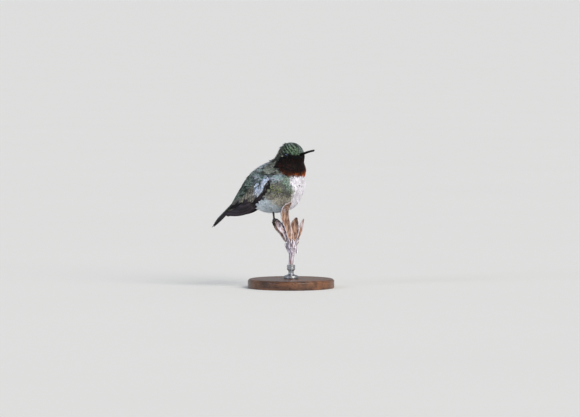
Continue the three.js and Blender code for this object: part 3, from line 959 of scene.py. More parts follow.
# each tint: middle, rim, metal, roughness, fleck and how strong the fleck is
TINTS: dict[str, Tint] = {
    "flank": Tint((84, 84, 78), (168, 164, 160), fleck=(52, 50, 48), fleck_share=0.65),
    "green": Tint((54, 80, 64), (162, 172, 168), 0.1, 0.5, (20, 25, 20), 0.85),
    # pale lilac rims: the fringes' tone and painted sheen on the top of the back
    "mantle": Tint((114, 136, 136), (216, 214, 236), 0.1, 0.5, (36, 44, 42), 0.74),
    # its near-black fleck paints the shade of the crown's dark rows
    "crown": Tint((66, 94, 68), (156, 180, 154), 0.2, 0.45, (9, 14, 8), 0.97),
    "brow": Tint((82, 96, 90), (156, 162, 174), 0.1, 0.5, (40, 52, 44), 0.8),
    "nape": Tint((40, 44, 34), (116, 116, 104), 0.05, 0.6, (18, 20, 16), 0.85),
    "collar": Tint((92, 100, 90), (176, 178, 174), 0.05, 0.6, (20, 21, 18), 0.85),
    "apron": Tint((134, 130, 118), (200, 194, 180), fleck=(90, 86, 78), fleck_share=0.5),
    "pale": Tint((166, 178, 185), (216, 226, 234)),
    "white": Tint((218, 216, 225), (250, 248, 252)),
    "teal": Tint((84, 110, 100), (164, 184, 174), 0.1, 0.5, (128, 142, 128), 0.6),
    "patch": Tint((158, 174, 204), (236, 243, 253), fleck=(66, 74, 84), fleck_share=0.72),
    "buff": Tint((98, 96, 88), (178, 172, 160), fleck=(46, 48, 42), fleck_share=0.7),
    "vent": Tint((206, 220, 230), (250, 252, 255)),
    "undertail": Tint((108, 108, 94), (168, 166, 150)),
    # painted shade for the cleft by the folded wing and by the rump
    "bend": Tint((9, 8, 9), (40, 38, 42)),
    "mask": Tint((3, 3, 5), (10, 10, 13)),
    "gorget": Tint((5, 3, 3), (26, 14, 12), 0.1, 0.5, (46, 20, 15), 0.55),
    # painted glint: the gorget's orange flash
    "ember": Tint((156, 68, 28), (255, 146, 64), 0.25, 0.4, (20, 9, 8), 0.85),
    "spot": Tint((206, 204, 186), (238, 234, 218)),
}


def new_material(name: str, **constants: object) -> tuple[Material, Graph, Node]:
    """A material with a Principled shader.

    Args:
        name: The material's name.
        constants: Values for the shader's own sockets, with underscores in their names for spaces.

    Returns:
        The material, its graph and its shader.
    """
    material = bpy.data.materials.new(name)
    material.use_nodes = True
    g = Graph(material.node_tree)
    return material, g, g.wire(material.node_tree.nodes["Principled BSDF"], **constants)


def add_bump(g: Graph, shader: Node, height: Socket, strength: float, depth_mm: float) -> None:
    """Feeds the shader's normal from a height."""
    bump = g.node("ShaderNodeBump", {"Strength": strength, "Distance": depth_mm * MM, "Height": height})
    g.feed(shader.inputs["Normal"], bump.outputs["Normal"])


@dataclass(frozen=True)
class PlumageFinish:
    """Small feathers or the skin under them, in the bird's markings."""

    name: str
    fineness: float = 60.0
    relief: float = 0.012
    sheen: float = 0.04
    gloss: float = 0.2
    bare: bool = False

    def build(self) -> Material:
        """Makes the material; bare is for the skin, which has no vanes of its own.

        Returns:
            The material.
        """
        material, g, shader = new_material(self.name, Sheen_Weight=self.sheen, Specular_IOR_Level=self.gloss)
        if self.bare:
            coat = g.group(Effects.plumage())
            height = g.noise(2400.0, 4.0, g.place((1, 1, 0.6)))
        else:
            vane = g.group(Effects.vane(), Fineness=self.fineness)
            coat = g.group(Effects.plumage(), Rim=vane.outputs["Rim"], Along=vane.outputs["Along"])
            height = g.math("ADD", vane.outputs["Barbs"], g.math("MULTIPLY", vane.outputs["Shaft"], 0.5))
        looks = coat.outputs
        g.wire(shader, Base_Color=looks["Colour"], Metallic=looks["Metal"], Roughness=looks["Roughness"])
        add_bump(g, shader, height, strength=0.5, depth_mm=self.relief)
        return material


@dataclass(frozen=True)
class FlightFinish:
    """Stiff wing and tail feathers: dark vanes with paler rims, a dark shaft and green where marked."""

    name: str
    vane: Colour
    rim: Colour
    worn: Colour = (64, 55, 62)
    green: Colour = (62, 96, 80)
    shaft: Colour = (22, 18, 18)
    dust: Colour = (78, 66, 76)

    def build(self) -> Material:
        """Makes the material.

        Returns:
            The material.
        """
        material, g, shader = new_material(self.name, Specular_IOR_Level=0.2)
        vane = g.group(Effects.vane(), Fineness=420.0)
        rim = g.span(g.math("ABSOLUTE", g.attribute("vane_x")), 0.84, 1.0)
        own = g.mix(g.attribute("seed"), paint(self.vane), paint(self.worn))
        body = g.mix(g.attribute("green"), own, paint(self.green))
        found = g.mix(g.math("MULTIPLY", rim, 0.35), body, paint(self.rim))
        found = g.mix(g.math("MULTIPLY", vane.outputs["Shaft"], 0.6), found, paint(self.shaft))
        clouds = g.span(g.noise(420.0, 4.0), 0.3, 0.7)
        found = g.mix(g.math("MULTIPLY", clouds, 0.12), found, paint(self.dust))
        rough = g.span(vane.outputs["Barbs"], 0, 1, 0.36, 0.5)
        shine = g.math("MULTIPLY", g.attribute("green"), 0.3)
        g.wire(shader, Base_Color=found, Roughness=rough, Metallic=shine)
        height = g.math("ADD", g.math("MULTIPLY", vane.outputs["Barbs"], 0.5), vane.outputs["Shaft"])
        add_bump(g, shader, height, strength=0.5, depth_mm=0.05)
        return material


@dataclass(frozen=True)
class GrainFinish:
    """Something smooth with fine streaks along it or round it, such as horn or turned steel."""

    name: str
    dark: Colour
    light: Colour
    stretch: Triple
    scale: float
    rough: Pair
    relief: float
    metallic: float = 0.0
    gloss: float = 0.5

    def build(self) -> Material:
        """Makes the material.

        Returns:
            The material.
        """
        material, g, shader = new_material(self.name, Metallic=self.metallic, Specular_IOR_Level=self.gloss)
        streaks = streaked(g, self.dark, self.light, self.stretch, self.scale, contrast=0.25)
        rough = g.span(streaks.outputs["Height"], 0.2, 0.8, *self.rough)
        g.wire(shader, Base_Color=streaks.outputs["Colour"], Roughness=rough)
        add_bump(g, shader, streaks.outputs["Height"], strength=self.relief, depth_mm=0.02)
        return material


def horn(name: str) -> GrainFinish:
    """The finish of bill and claws: black horn with faint streaks."""
    dark, light = (5, 5, 5), (12, 10, 10)
    return GrainFinish(name, dark, light, (0.25, 0.25, 1.6), 1500.0, (0.26, 0.48), 0.35, gloss=0.12)


def steel(name: str) -> GrainFinish:
    """The finish of the rod: steel with fine rings left by the lathe."""
    dark, light = (136, 138, 142), (196, 197, 200)
    return GrainFinish(name, dark, light, (0.05, 0.05, 5.0), 900.0, (0.24, 0.4), 0.3, metallic=1.0)


@dataclass(frozen=True)
class EyeFinish:
    """A wet eye: black pupil, dark brown iris and a darker edge."""

    name: str
    pupil: Colour = (2, 2, 3)
    iris: tuple[Colour, Colour] = ((10, 7, 6), (26, 18, 14))
    edge: Colour = (5, 4, 4)

    def build(self) -> Material:
        """Makes the material.

        Returns:
            The material.
        """
        material, g, shader = new_material(self.name, Roughness=0.04, Specular_IOR_Level=0.17)
        polar = g.attribute("polar")
        iris = g.mix(g.noise(2600.0, 4.0), *map(paint, self.iris))
        found = g.mix(g.span(polar, 0.52, 0.58), paint(self.pupil), iris)
        g.wire(shader, Base_Color=g.mix(g.span(polar, 0.74, 0.86), found, paint(self.edge)))
        return material


@dataclass(frozen=True)
class ScaleFinish:
    """Bare skin in plates across a leg or toe, or in fine wrinkles round an eye."""

    name: str
    plates: float
    dark: Colour = (18, 15, 15)
    light: Colour = (58, 50, 48)
    crack: Colour = (92, 82, 78)

    def build(self) -> Material:
        """Makes the material.

        Returns:
            The material.
        """
        material, g, shader = new_material(self.name, Specular_IOR_Level=0.45)
        wave = g.math("SINE", g.math("MULTIPLY", g.attribute("along"), self.plates))
        crack = g.span(wave, 0.55, 0.98)
        skin = g.mix(g.noise(3200.0, 4.0), paint(self.dark), paint(self.light))
        found = g.mix(g.math("MULTIPLY", crack, 0.6), skin, paint(self.crack))
        g.wire(shader, Base_Color=found, Roughness=g.span(wave, -1, 1, 0.36, 0.6))
        height = g.math("ADD", g.math("MULTIPLY", crack, -1.0), g.math("MULTIPLY", g.noise(5200.0), 0.4))
        add_bump(g, shader, height, strength=0.6, depth_mm=0.05)
        return material


@dataclass(frozen=True)
class DryFinish:
    """Weathered dry plant: silvery bark outside and rusty flesh where a pod is split open."""

    name: str
    silver: Colour = (220, 210, 220)
    shade: Colour = (110, 94, 102)
    rust: Colour = (208, 174, 154)
    deep: Colour = (116, 86, 74)
    rot: Colour = (54, 38, 34)
    stain: Colour = (146, 106, 92)
    speck: Colour = (50, 32, 30)
    lip: Colour = (226, 218, 220)

    def build(self) -> Material:
        """Makes the material.

        Returns:
            The material.
        """
        material, g, shader = new_material(self.name, Specular_IOR_Level=0.2, Sheen_Weight=0.1)
        bark = streaked(g, self.shade, self.silver, (1.0, 1.0, 0.14), scale=1300.0, contrast=0.14)
        flesh = streaked(g, self.deep, self.rust, (1.0, 1.0, 0.2), scale=900.0, contrast=0.11)
        stain = g.span(g.noise(360.0, 4.0), 0.52, 0.68)
        outer = g.mix(g.math("MULTIPLY", stain, 0.7), bark.outputs["Colour"], paint(self.stain))
        specks = g.span(g.noise(2600.0, 2.0), 0.66, 0.72)
        inner = g.mix(g.math("MULTIPLY", specks, 0.8), flesh.outputs["Colour"], paint(self.speck))
        long = g.noise(240.0, 4.0, g.place((1.0, 1.0, 0.28)))
        inner = g.mix(g.math("MULTIPLY", g.span(long, 0.5, 0.66), 0.75), inner, paint(self.rot))
        inner = g.mix(g.math("MULTIPLY", g.span(long, 0.44, 0.34), 0.7), inner, paint(self.silver))
        found = g.mix(g.attribute("inside"), outer, inner)
        found = g.mix(g.math("MULTIPLY", g.attribute("rim"), 0.75), found, paint(self.lip))
        # darker where the pod marks its tip
        found = g.mix(g.math("MULTIPLY", g.attribute("rot"), 0.85), found, paint(self.rot))
        g.wire(shader, Base_Color=found, Roughness=g.span(bark.outputs["Height"], 0.2, 0.8, 0.6, 0.88))
        add_bump(g, shader, bark.outputs["Height"], strength=0.9, depth_mm=0.12)
        return material


@dataclass(frozen=True)
class WoodFinish:
    """Dark oiled wood: broad bands of growth, fine pores and a satin coat."""

    name: str
    dark: Colour = (62, 38, 26)
    light: Colour = (122, 80, 52)
    pore: Colour = (34, 20, 14)

    def build(self) -> Material:
        """Makes the material.

        Returns:
            The material.
        """
        material, g, shader = new_material(self.name, Specular_IOR_Level=0.4, Coat_Roughness=0.25)
        bands = streaked(g, self.dark, self.light, (0.12, 1.0, 1.0), scale=260.0, contrast=0.2)
        pores = streaked(g, self.pore, (255, 255, 255), (0.06, 1.0, 1.0), scale=2600.0, contrast=0.12)
        deep = g.span(pores.outputs["Height"], 0.36, 0.44)
        found = g.mix(deep, paint(self.pore), bands.outputs["Colour"])
        rough = g.span(bands.outputs["Height"], 0.3, 0.7, 0.34, 0.5)
        g.wire(shader, Base_Color=found, Roughness=rough, Coat_Weight=g.math("MULTIPLY", deep, 0.35))
        add_bump(g, shader, deep, strength=0.4, depth_mm=0.04)
        return material


@dataclass(frozen=True)
class FloorFinish:
    """A plain pale floor with the faintest unevenness."""

    name: str
    colour: Colour = (226, 226, 224)

    def build(self) -> Material:
        """Makes the material.

        Returns:
            The material.
        """
        material, g, shader = new_material(self.name, Roughness=0.7, Specular_IOR_Level=0.2)
        other = tuple(c - 3 for c in self.colour)
        g.wire(shader, Base_Color=g.mix(g.noise(6.0), paint(self.colour), paint(other)))
        return material


# -------------------- feathers


class Vane(Enum):
    """How a small feather is made."""

    SCALE = "a smooth rounded vane"
    FRINGED = "a rounded vane whose barbs part along its rim"
    PLUME = "loose separate barbs"


@dataclass
class Template:
    """One feather, flat: x across from -1 to 1, y along from 0 to 1 and z out, in half widths."""

    points: Array
    faces: Array

    @staticmethod
    def web(
        rng: Chance, rows: int, columns: int, wide: float = 1.0, long: float = 1.0
    ) -> "Template":
        """A rounded vane, gently cupped, with a slightly worn tip.

        Args:
            rng: The source of chance.
            rows: How many rows of points run across it.
            columns: How many points each row has.
            wide: Its half width.
            long: Its length.

        Returns:
            The vane.
        """
        v, u = np.meshgrid(np.linspace(0, 1, rows), np.linspace(-1, 1, columns), indexing="ij")
        rounding = np.sqrt(np.clip(1 - (np.maximum(v - 0.45, 0) / 0.57) ** 2.4, 0.02, 1))
        width = mix(0.5, 1.0, ease(v, 0.0, 0.4)) * rounding
        worn = rng.normal(0, 0.03, columns)[None, :] * ease(v, 0.6, 1.0)
        y = v * (1 - 0.12 * u**2 * v) + worn
        z = 0.04 * ease(np.abs(u), 0.3, 0.0) - 0.22 * (u * wide) ** 2
        points = np.stack([u * width * wide, y * long, z], axis=-1).reshape(-1, 3)
        return Template(points, grid_faces(rows, columns))

    @staticmethod
    def barbs(rng: Chance, count: int, rows: int, inner: float, loose: float) -> "Template":
        """Separate barbs that curve forward from the shaft.

        Args:
            rng: The source of chance.
            count: How many barbs each side has.
            rows: How many pairs of points each barb has.
            inner: The share of its span at which each barb starts.
            loose: How far the barbs stray out of the feather's face.

        Returns:
            The barbs.
        """
        points, faces = [], []
        t = np.linspace(inner, 1, rows)
        for side in (-1, 1):
            for n in range(count):
                start = mix(0.08, 0.94, (n + rng.uniform(-0.3, 0.3)) / (count - 1))
                span = mix(1.0, 0.16, ease(start, 0.4, 1.0)) * mix(0.7, 1.0, ease(start, 0.0, 0.3))
                span *= rng.uniform(0.88, 1.1)
                run = mix(0.36, 0.13, start) * rng.uniform(0.85, 1.15)
                x = side * span * (1 - (1 - t) ** 1.7)
                y = start + run * t**1.35
                z = 0.03 - 0.2 * x**2 + loose * (rng.normal(0, 0.05) * t + rng.uniform(-0.25, 0.2) * t**2)
                half = mix(0.032, 0.006, t**1.5)
                low = np.stack([x + side * half * 0.5, y - half, z - 0.02 * (1 - t)], axis=-1)
                high = np.stack([x - side * half * 0.5, y + half, z], axis=-1)
                points.append(np.stack([low, high], axis=1).reshape(-1, 3))
                faces.append(grid_faces(rows, 2) + 2 * rows * len(faces))
        return Template(np.vstack(points), np.vstack(faces))

    @staticmethod
    def make(vane: Vane, rng: Chance) -> "Template":
        """A feather of the given kind.

        Args:
            vane: The kind.
            rng: The source of chance.

        Returns:
            The feather.
        """
        if vane is Vane.SCALE:
            return Template.web(rng, 8, 7)
        if vane is Vane.FRINGED:
            parts = (Template.web(rng, 6, 5, 0.72, 0.93), Template.barbs(rng, 17, 3, 0.45, 0.5))
        else:
            parts = (Template.web(rng, 5, 3, 0.24, 0.92), Template.barbs(rng, 20, 4, 0.0, 1.4))
        moved = parts[1].faces + len(parts[0].points)
        return Template(np.vstack([p.points for p in parts]), np.vstack([parts[0].faces, moved]))


@dataclass(frozen=True)
class Tract:
    """A field of like feathers: where it is, and how its feathers are set.

    Lengths are in millimetres and angles in degrees. Ruffle is how far feathers stray from the lie, droop
    how far they all hang below it, clump how far tufts of them stand up, and streaks how many bands of like
    shade run round the body; the darker bands are partly the feathers' own tone and partly painted shade of
    the gaps between rows of feathers. Rows is how far apart dark rows slant over the head, which are painted
    shade of the gaps between rows of feathers. Feathers that hang may lie over the bare part of a wing.
    """

    name: str
    vane: Vane
    spacing: float
    length: float
    half: float
    lift: float = 0.1
    ruffle: float = 7.0
    fineness: float = 60.0
    marked_at: float = 0.75
    streaks: int = 0
    droop: float = 0.0
    clump: float = 0.0
    gloss: float = 0.2
    rows: float = 0.0
    hangs: bool = False


# each tract: name, vane, spacing, length, half width, lift, ruffle, fineness, where it reads its markings
TRACTS: tuple[Tract, ...] = (
    Tract("face", Vane.SCALE, 0.38, 0.95, 0.28, 0.0, 8, 150, 0.4, gloss=0.1),
    Tract("gorget", Vane.SCALE, 0.62, 1.7, 0.46, 0.02, 5, 190, 0.3, gloss=0.1),
    Tract("crown", Vane.SCALE, 0.38, 1.25, 0.28, 0.06, 5, 190, 0.5, rows=1.55, clump=0.3),
    Tract("nape", Vane.FRINGED, 0.74, 2.8, 0.6, 0.4, 16, 220, 0.7, streaks=34, clump=0.8),
    Tract("back", Vane.FRINGED, 1.25, 3.9, 1.05, 0.2, 9, 260, 0.7, streaks=26, clump=0.5),
    Tract("rump", Vane.FRINGED, 1.1, 4.6, 0.9, 0.12, 6, 260, 0.7, streaks=22),
    Tract("breast", Vane.FRINGED, 0.62, 2.6, 0.66, 0.1, 9, 240),
    Tract("flank", Vane.FRINGED, 1.05, 3.3, 0.96, 0.2, 15, 240),
    Tract("belly", Vane.PLUME, 0.66, 3.2, 0.9, 0.2, 12, 240, droop=24),
    Tract("wing_fluff", Vane.PLUME, 0.7, 4.8, 0.72, 0.6, 14, 240, 0.35, droop=26, hangs=True),
    Tract("undertail", Vane.FRINGED, 0.76, 3.6, 0.8, 0.12, 8, 260),
)


def tract_of(p: Array) -> Array:
    """Which tract points belong to.

    Args:
        p: Points on the skin.

    Returns:
        The tract's number in TRACTS for each.
    """
    names = [t.name for t in TRACTS]
    m = markings(p)
    forward, left, up = FORM.head_parts(p)
    turn = np.degrees(np.arctan2(np.abs(left), forward))
    on_head = p[:, 2] > 20.5
    plain = (m["mask"] > 0.5) & (m["gorget"] < 0.5) & (m["crown"] < 0.5)
    found = np.full(len(p), names.index("flank"))
    for name, where in (
        ("belly", (p[:, 2] < 4.5) | (m["pale"] > 0.5)),
        ("breast", m["white"] > 0.35),
        ("back", m["green"] > 0.5),
        ("rump", (m["green"] > 0.5) & (p[:, 0] < -20.5) & (p[:, 2] < 12)),
        ("undertail", m["undertail"] > 0.5),
        ("wing_fluff", (m["patch"] > 0.35) | (m["buff"] > 0.35)),
        ("nape", on_head & (turn > 100) & (m["gorget"] < 0.5)),
        ("crown", on_head & (turn <= 112) & (m["green"] > 0.5) & (up > 0.0)),
        ("gorget", m["gorget"] > 0.5),
        ("face", plain | (m["spot"] > 0.5) | ((forward > 7.0) & (up > -3.0))),
    ):
        found[where] = names.index(name)
    return found


def coat_depth(p: Array) -> Array:
    """How far the skin lies inside the outline.

    Args:
        p: The points.

    Returns:
        The depth at each.
    """
    trunk = mix(1.15, 0.55, ease(p[..., 0], -22.0, -30.0))
    head = mix(0.75, 0.4, ease(FORM.head_parts(p)[0], 2.0, 7.5))
    return mix(trunk, head, ease(p[..., 2], 18.0, 22.5) * ease(p[..., 0], -13.0, -8.0))


STATIONS = 7  # how many points each feather's middle line has


@dataclass
class Quills:
    """The middle lines of many feathers, each as a row of stations over the skin."""

    points: Array
    outwards: Array
    sideways: Array
    half: Array
    seed: Array

    @staticmethod
    def march(
        roots: Array, length: Array, half: Array, heading: Array, lift: Array, seed: Array
    ) -> "Quills":
        """Lays feathers from their roots along the lie of the coat.

        Args:
            roots: Where they leave the skin.
            length: How long each is.
            half: Half of each one's width.
            heading: How far each turns off the lie, in radians.
            lift: How far each tip stands out of the outline.
            seed: A number from 0 to 1 for each.

        Returns:
            The middle lines.
        """
        p = roots
        out = FORM.slope(p)
        depth = coat_depth(p)
        points, outs, sides = [], [], []
        step = 1 / (STATIONS - 1)
        for n in range(STATIONS):
            share = n / (STATIONS - 1)
            way = FORM.flow(p)
            ahead = unit(way - (way * out).sum(-1, keepdims=True) * out)
            side = np.cross(out, ahead)
            ahead = ahead * np.cos(heading)[:, None] + side * np.sin(heading)[:, None]
            points.append(p)
            outs.append(out)
            sides.append(np.cross(out, ahead))
            reach = share + step
            level = mix(-depth, -0.3, ease(reach, 0.0, 0.5)) + 0.26 * reach + lift * share**2
            p, out = FORM.settle(p + ahead * (length / (STATIONS - 1))[:, None], level)
        return Quills(*(np.stack(rows, 1) for rows in (points, outs, sides)), half, seed)

    def pick(self, keep: Array) -> "Quills":
        """Only some of the feathers."""
        return Quills(*(getattr(self, part.name)[keep] for part in fields(self)))

    def dress(self, templates: Sequence[Template], marked_at: float, span: tuple[Array, Array]) -> Shape:
        """Bends a template over each middle line.

        Args:
            templates: Kinds of feather, dealt out in turn.
            marked_at: The share of its length at which each feather takes its markings.
            span: The lowest and highest unwrapped places of the piece, for the map of its roots.

        Returns:
            All the feathers as one shape.
        """
        shapes = []
        marks = markings(self.points[:, round(marked_at * (STATIONS - 1))])
        roots = (FORM.unwrap(self.points[:, 0]) - span[0]) / np.maximum(span[1] - span[0], 1e-6)
        roots = roots * 0.97 + 0.015
        for n, template in enumerate(templates):
            own = np.arange(n, len(self.points), len(templates))
            if not len(own):
                continue
            x, y, z = template.points.T
            place = np.clip(y, 0, 1.12) * (STATIONS - 1)
            low = np.clip(np.floor(place).astype(int), 0, STATIONS - 2)
            share = (place - low)[None, :, None]

            def along(rows: Array) -> Array:
                """What lies at each template point's place along the middle lines."""
                return mix(rows[own][:, low], rows[own][:, low + 1], share)

            half = self.half[own][:, None, None]
            points = along(self.points) + along(self.sideways) * (x[None, :, None] * half)
            points = points + along(self.outwards) * (z[None, :, None] * half)
            count = len(template.points)
            faces = template.faces[None] + (np.arange(len(own)) * count)[:, None, None]
            each = {f"mark_{k}": marks[k][own] for k in MARKS} | {"seed": self.seed[own]}
            values = {k: np.repeat(v, count) for k, v in each.items()}
            values["vane_x"] = np.tile(np.clip(x, -1, 1), len(own))
            values["vane_y"] = np.tile(np.clip(y, 0, 1), len(own))
            patch = np.stack([np.clip(x, -1, 1) * 0.5, np.clip(y, 0, 1) - 0.5], axis=-1) * 0.003
            flat = (roots[own][:, None] + patch[None]).reshape(-1, 2)
            shapes.append(Shape(points.reshape(-1, 3), faces.reshape(-1, 4), values, flat))
        return Shape.join(shapes)


def scatter(points: Array, spacing: Array) -> Array:
    """Thins points until none lies nearer to another than its own spacing; earlier ones stay.

    Args:
        points: The points.
        spacing: The spacing of each.

    Returns:
        The numbers of the points that stay.
    """
    tree = kdtree.KDTree(len(points))
    for n, p in enumerate(points):
        tree.insert(p, n)
    tree.balance()
    alive = np.ones(len(points), bool)
    kept = []
    for n in range(len(points)):
        if alive[n]:
            kept.append(n)
            for _, other, _ in tree.find_range(points[n], spacing[n]):
                alive[other] = False
    return np.array(kept)


@dataclass
class Skin:
    """The one skin under all the plumage, with a socket for each eye."""

    step: float = 0.55
    socket: float = 0.3
    blend: float = 0.5
    low: Triple = (-42.0, -14.0, -8.0)
    high: Triple = (14.0, 14.0, 36.0)

    def level(self, p: Array) -> Array:
        """Signed distance to the skin.

        Args:
            p: The points.

        Returns:
            The distance from each, negative inside.
        """
        body = FORM.distance(p) + coat_depth(p)
        for side in (-1, 1):
            hole = FORM.eye.radius + self.socket - np.linalg.norm(p - FORM.eye_at(side), axis=-1)
            share = np.clip(0.5 + 0.5 * (hole - body) / self.blend, 0, 1)
            body = mix(body, hole, share) + self.blend * share * (1 - share)
        return body

    def shape(self) -> Shape:
        """The skin's mesh.

        Returns:
            The mesh, with the plumage's markings stored on it.
        """
        made = net(self.level, vec(*self.low), vec(*self.high), self.step)
        marks = markings(made.points)
        made.values = {f"mark_{k}": v for k, v in marks.items()}
        made.values["seed"] = np.full(len(made.points), 0.4)
        return made

    def build(self, shape: Shape) -> None:
        """Makes the piece."""
        finish = PlumageFinish("skin_finish", relief=0.06, bare=True)
        shape.build("skin", finish.build(), "plumage", "head", "neck", "trunk", "rump")


@dataclass
class Coat:
    """The small feathers of head and body, one piece for each tract."""

    skin: Shape
    seed: int = 7
    density: int = 14
    templates: int = 6
    bill_foot: Triple = (8.6, 0.0, 0.0)
    bill_clear: float = 0.8
    eye_clear: float = 1.6
    crest_lift: float = 1.3
    crest_ahead: float = 1.4

    def roots(self, rng: Chance) -> tuple[Array, Array]:
        """Even places on the skin.

        Args:
            rng: The source of chance.

        Returns:
            The places and the tract of each.
        """
        corners = self.skin.points[self.skin.faces]
        diagonals = corners[:, 2] - corners[:, 0], corners[:, 3] - corners[:, 1]
        area = 0.5 * np.linalg.norm(np.cross(*diagonals), axis=-1)
        wish = area / self.gaps(corners.mean(1)) ** 2 * self.density
        chosen = rng.choice(len(area), int(wish.sum()), p=wish / wish.sum())
        a, b = rng.random((2, len(chosen), 1))
        c = corners[chosen]
        p = mix(mix(c[:, 0], c[:, 1], a), mix(c[:, 3], c[:, 2], a), b)
        p = p[scatter(p, self.gaps(p))]
        return p, tract_of(p)

    def from_bill(self, p: Array) -> Array:
        """How far points lie from the foot of the bill."""
        return np.linalg.norm(p - FORM.on_head(*self.bill_foot), axis=-1)

    def near_bill(self, p: Array) -> Array:
        """How much smaller feathers are than their tract's at points near the bill."""
        return mix(0.6, 1.0, ease(self.from_bill(p), 0.5, 4.5))

    def gaps(self, p: Array) -> Array:
        """How far apart feathers stand at points."""
        return np.array([t.spacing for t in TRACTS])[tract_of(p)] * self.near_bill(p)

    def keep_clear(self, quills: Quills, hangs: bool) -> Array:
        """Which feathers cover neither an eye nor the bill nor the bare part of a wing.

        Args:
            quills: The feathers.
            hangs: Whether they may hang over a little of the bare part.

        Returns:
            True for each that stays.
        """
        clear = np.ones(len(quills.seed), bool)
        for side in (-1, 1):
            eye = FORM.eye_at(side)
            out = unit(eye - FORM.on_head(0.6, 0, 0.1))
            gap = quills.points[:, :6] - eye
            flat = np.linalg.norm(gap - (gap @ out)[..., None] * out, axis=-1)
            near = (gap @ out) > -0.5
            clear &= ~((flat < self.eye_clear) & near).any(1)
        forward, left, up = FORM.head_parts(quills.points)
        bill = np.hypot(left, up - 0.25)
        clear &= ~((forward > 7.5) & (bill < self.bill_clear)).any(1)
        for station, margin in ((1, -0.3), (5, 0.6)) if hangs else ((3, 0.2), (5, 0.5)):
            clear &= ~Wing.bares(quills.points[:, station], margin)
        return clear

    @staticmethod
    def dark_rows(p: Array, apart: float, seed: Array) -> Array:
        """The shades of the crown's feathers, in dark rows that slant over the head, painted shade of the
        gaps between rows.

        Args:
            p: Where the feathers are.
            apart: How far apart the rows are.
            seed: A number from 0 to 1 for each feather, which shows a little.

        Returns:
            The new number for each.
        """
        forward, left, up = FORM.head_parts(p)
        aside = 0.588 * forward - 0.809 * np.hypot(left, 0.6)
        slant = 0.839 * aside - 0.03 * np.maximum(aside + 1.0, 0) ** 2 + 0.545 * up
        slant = slant + 0.16 * np.sin(1.3 * up - 0.9 * aside) + 0.1 * np.sin(2.9 * up + 1.7 * aside)
        # fewer dark feathers towards the top of the head, where the light falls
        shade = 0.6 - 0.2 * ease(up, 4.0, 7.0) + 0.95 * np.sin(math.tau * slant / apart)
        return np.clip(mix(shade, seed, 0.06), 0, 1)

    def build(self) -> None:
        """Lays every tract and makes its piece."""
        rng = np.random.default_rng(self.seed)
        roots, tracts = self.roots(rng)
        for number, tract in enumerate(TRACTS):
            own = roots[tracts == number]
            if not len(own):
                continue
            count = len(own)
            size = (1 + rng.normal(0, 0.08, count)) * self.near_bill(own)
            seed = rng.random(count)
            turn, along = FORM.around(own), FORM.unwrap(own)[:, 1]
            # bands of darker feathers round the body: partly the feathers' own tone, partly painted shade of
            # the gaps between rows
            if tract.streaks:
                wave = np.sin(math.tau * tract.streaks * turn + 1.1 * np.sin(along * 34))
                seed = np.clip(mix(0.52 + 0.6 * wave, seed, 0.18), 0, 1)
            tuft = np.clip(np.sin(math.tau * 13 * turn + 1.0) * np.sin(110 * along + 9 * turn), 0, 1)
            tuft = tuft * ease(self.from_bill(own), 8.0, 11.0)
            heading = np.radians(tract.ruffle * rng.normal(0, 1, count) - tract.droop * np.sign(own[:, 1]))
            lift = tract.lift * rng.uniform(-0.3, 1.3, count) + tract.clump * tuft
            lift = lift + self.crest_lift * crest(own + self.crest_ahead * FORM.flow(own))
            length = tract.length * size
            quills = Quills.march(own, length, tract.half * size, heading, lift, seed)
            if not tract.hangs:
                length = np.where(Wing.bares(quills.points[:, 5], 0.2), 0.5 * length, length)
                quills = Quills.march(own, length, tract.half * size, heading, lift, seed)
            if tract.rows:
                quills.seed = self.dark_rows(quills.points[:, 5], tract.rows, seed)
            quills = quills.pick(self.keep_clear(quills, tract.hangs))
            kinds = [Template.make(tract.vane, rng) for _ in range(self.templates)]
            flat = FORM.unwrap(quills.points[:, 0])
            shape = quills.dress(kinds, tract.marked_at, (flat.min(0), flat.max(0)))
            finish = PlumageFinish(f"{tract.name}_feathers_finish", tract.fineness, gloss=tract.gloss)
            shape.build(f"{tract.name}_feathers", finish.build(), "plumage")
            log.info("%s: %d feathers", tract.name, len(quills.seed))


# -------------------- wings and tail

Place = Callable[[Array, Array, Array], Array]


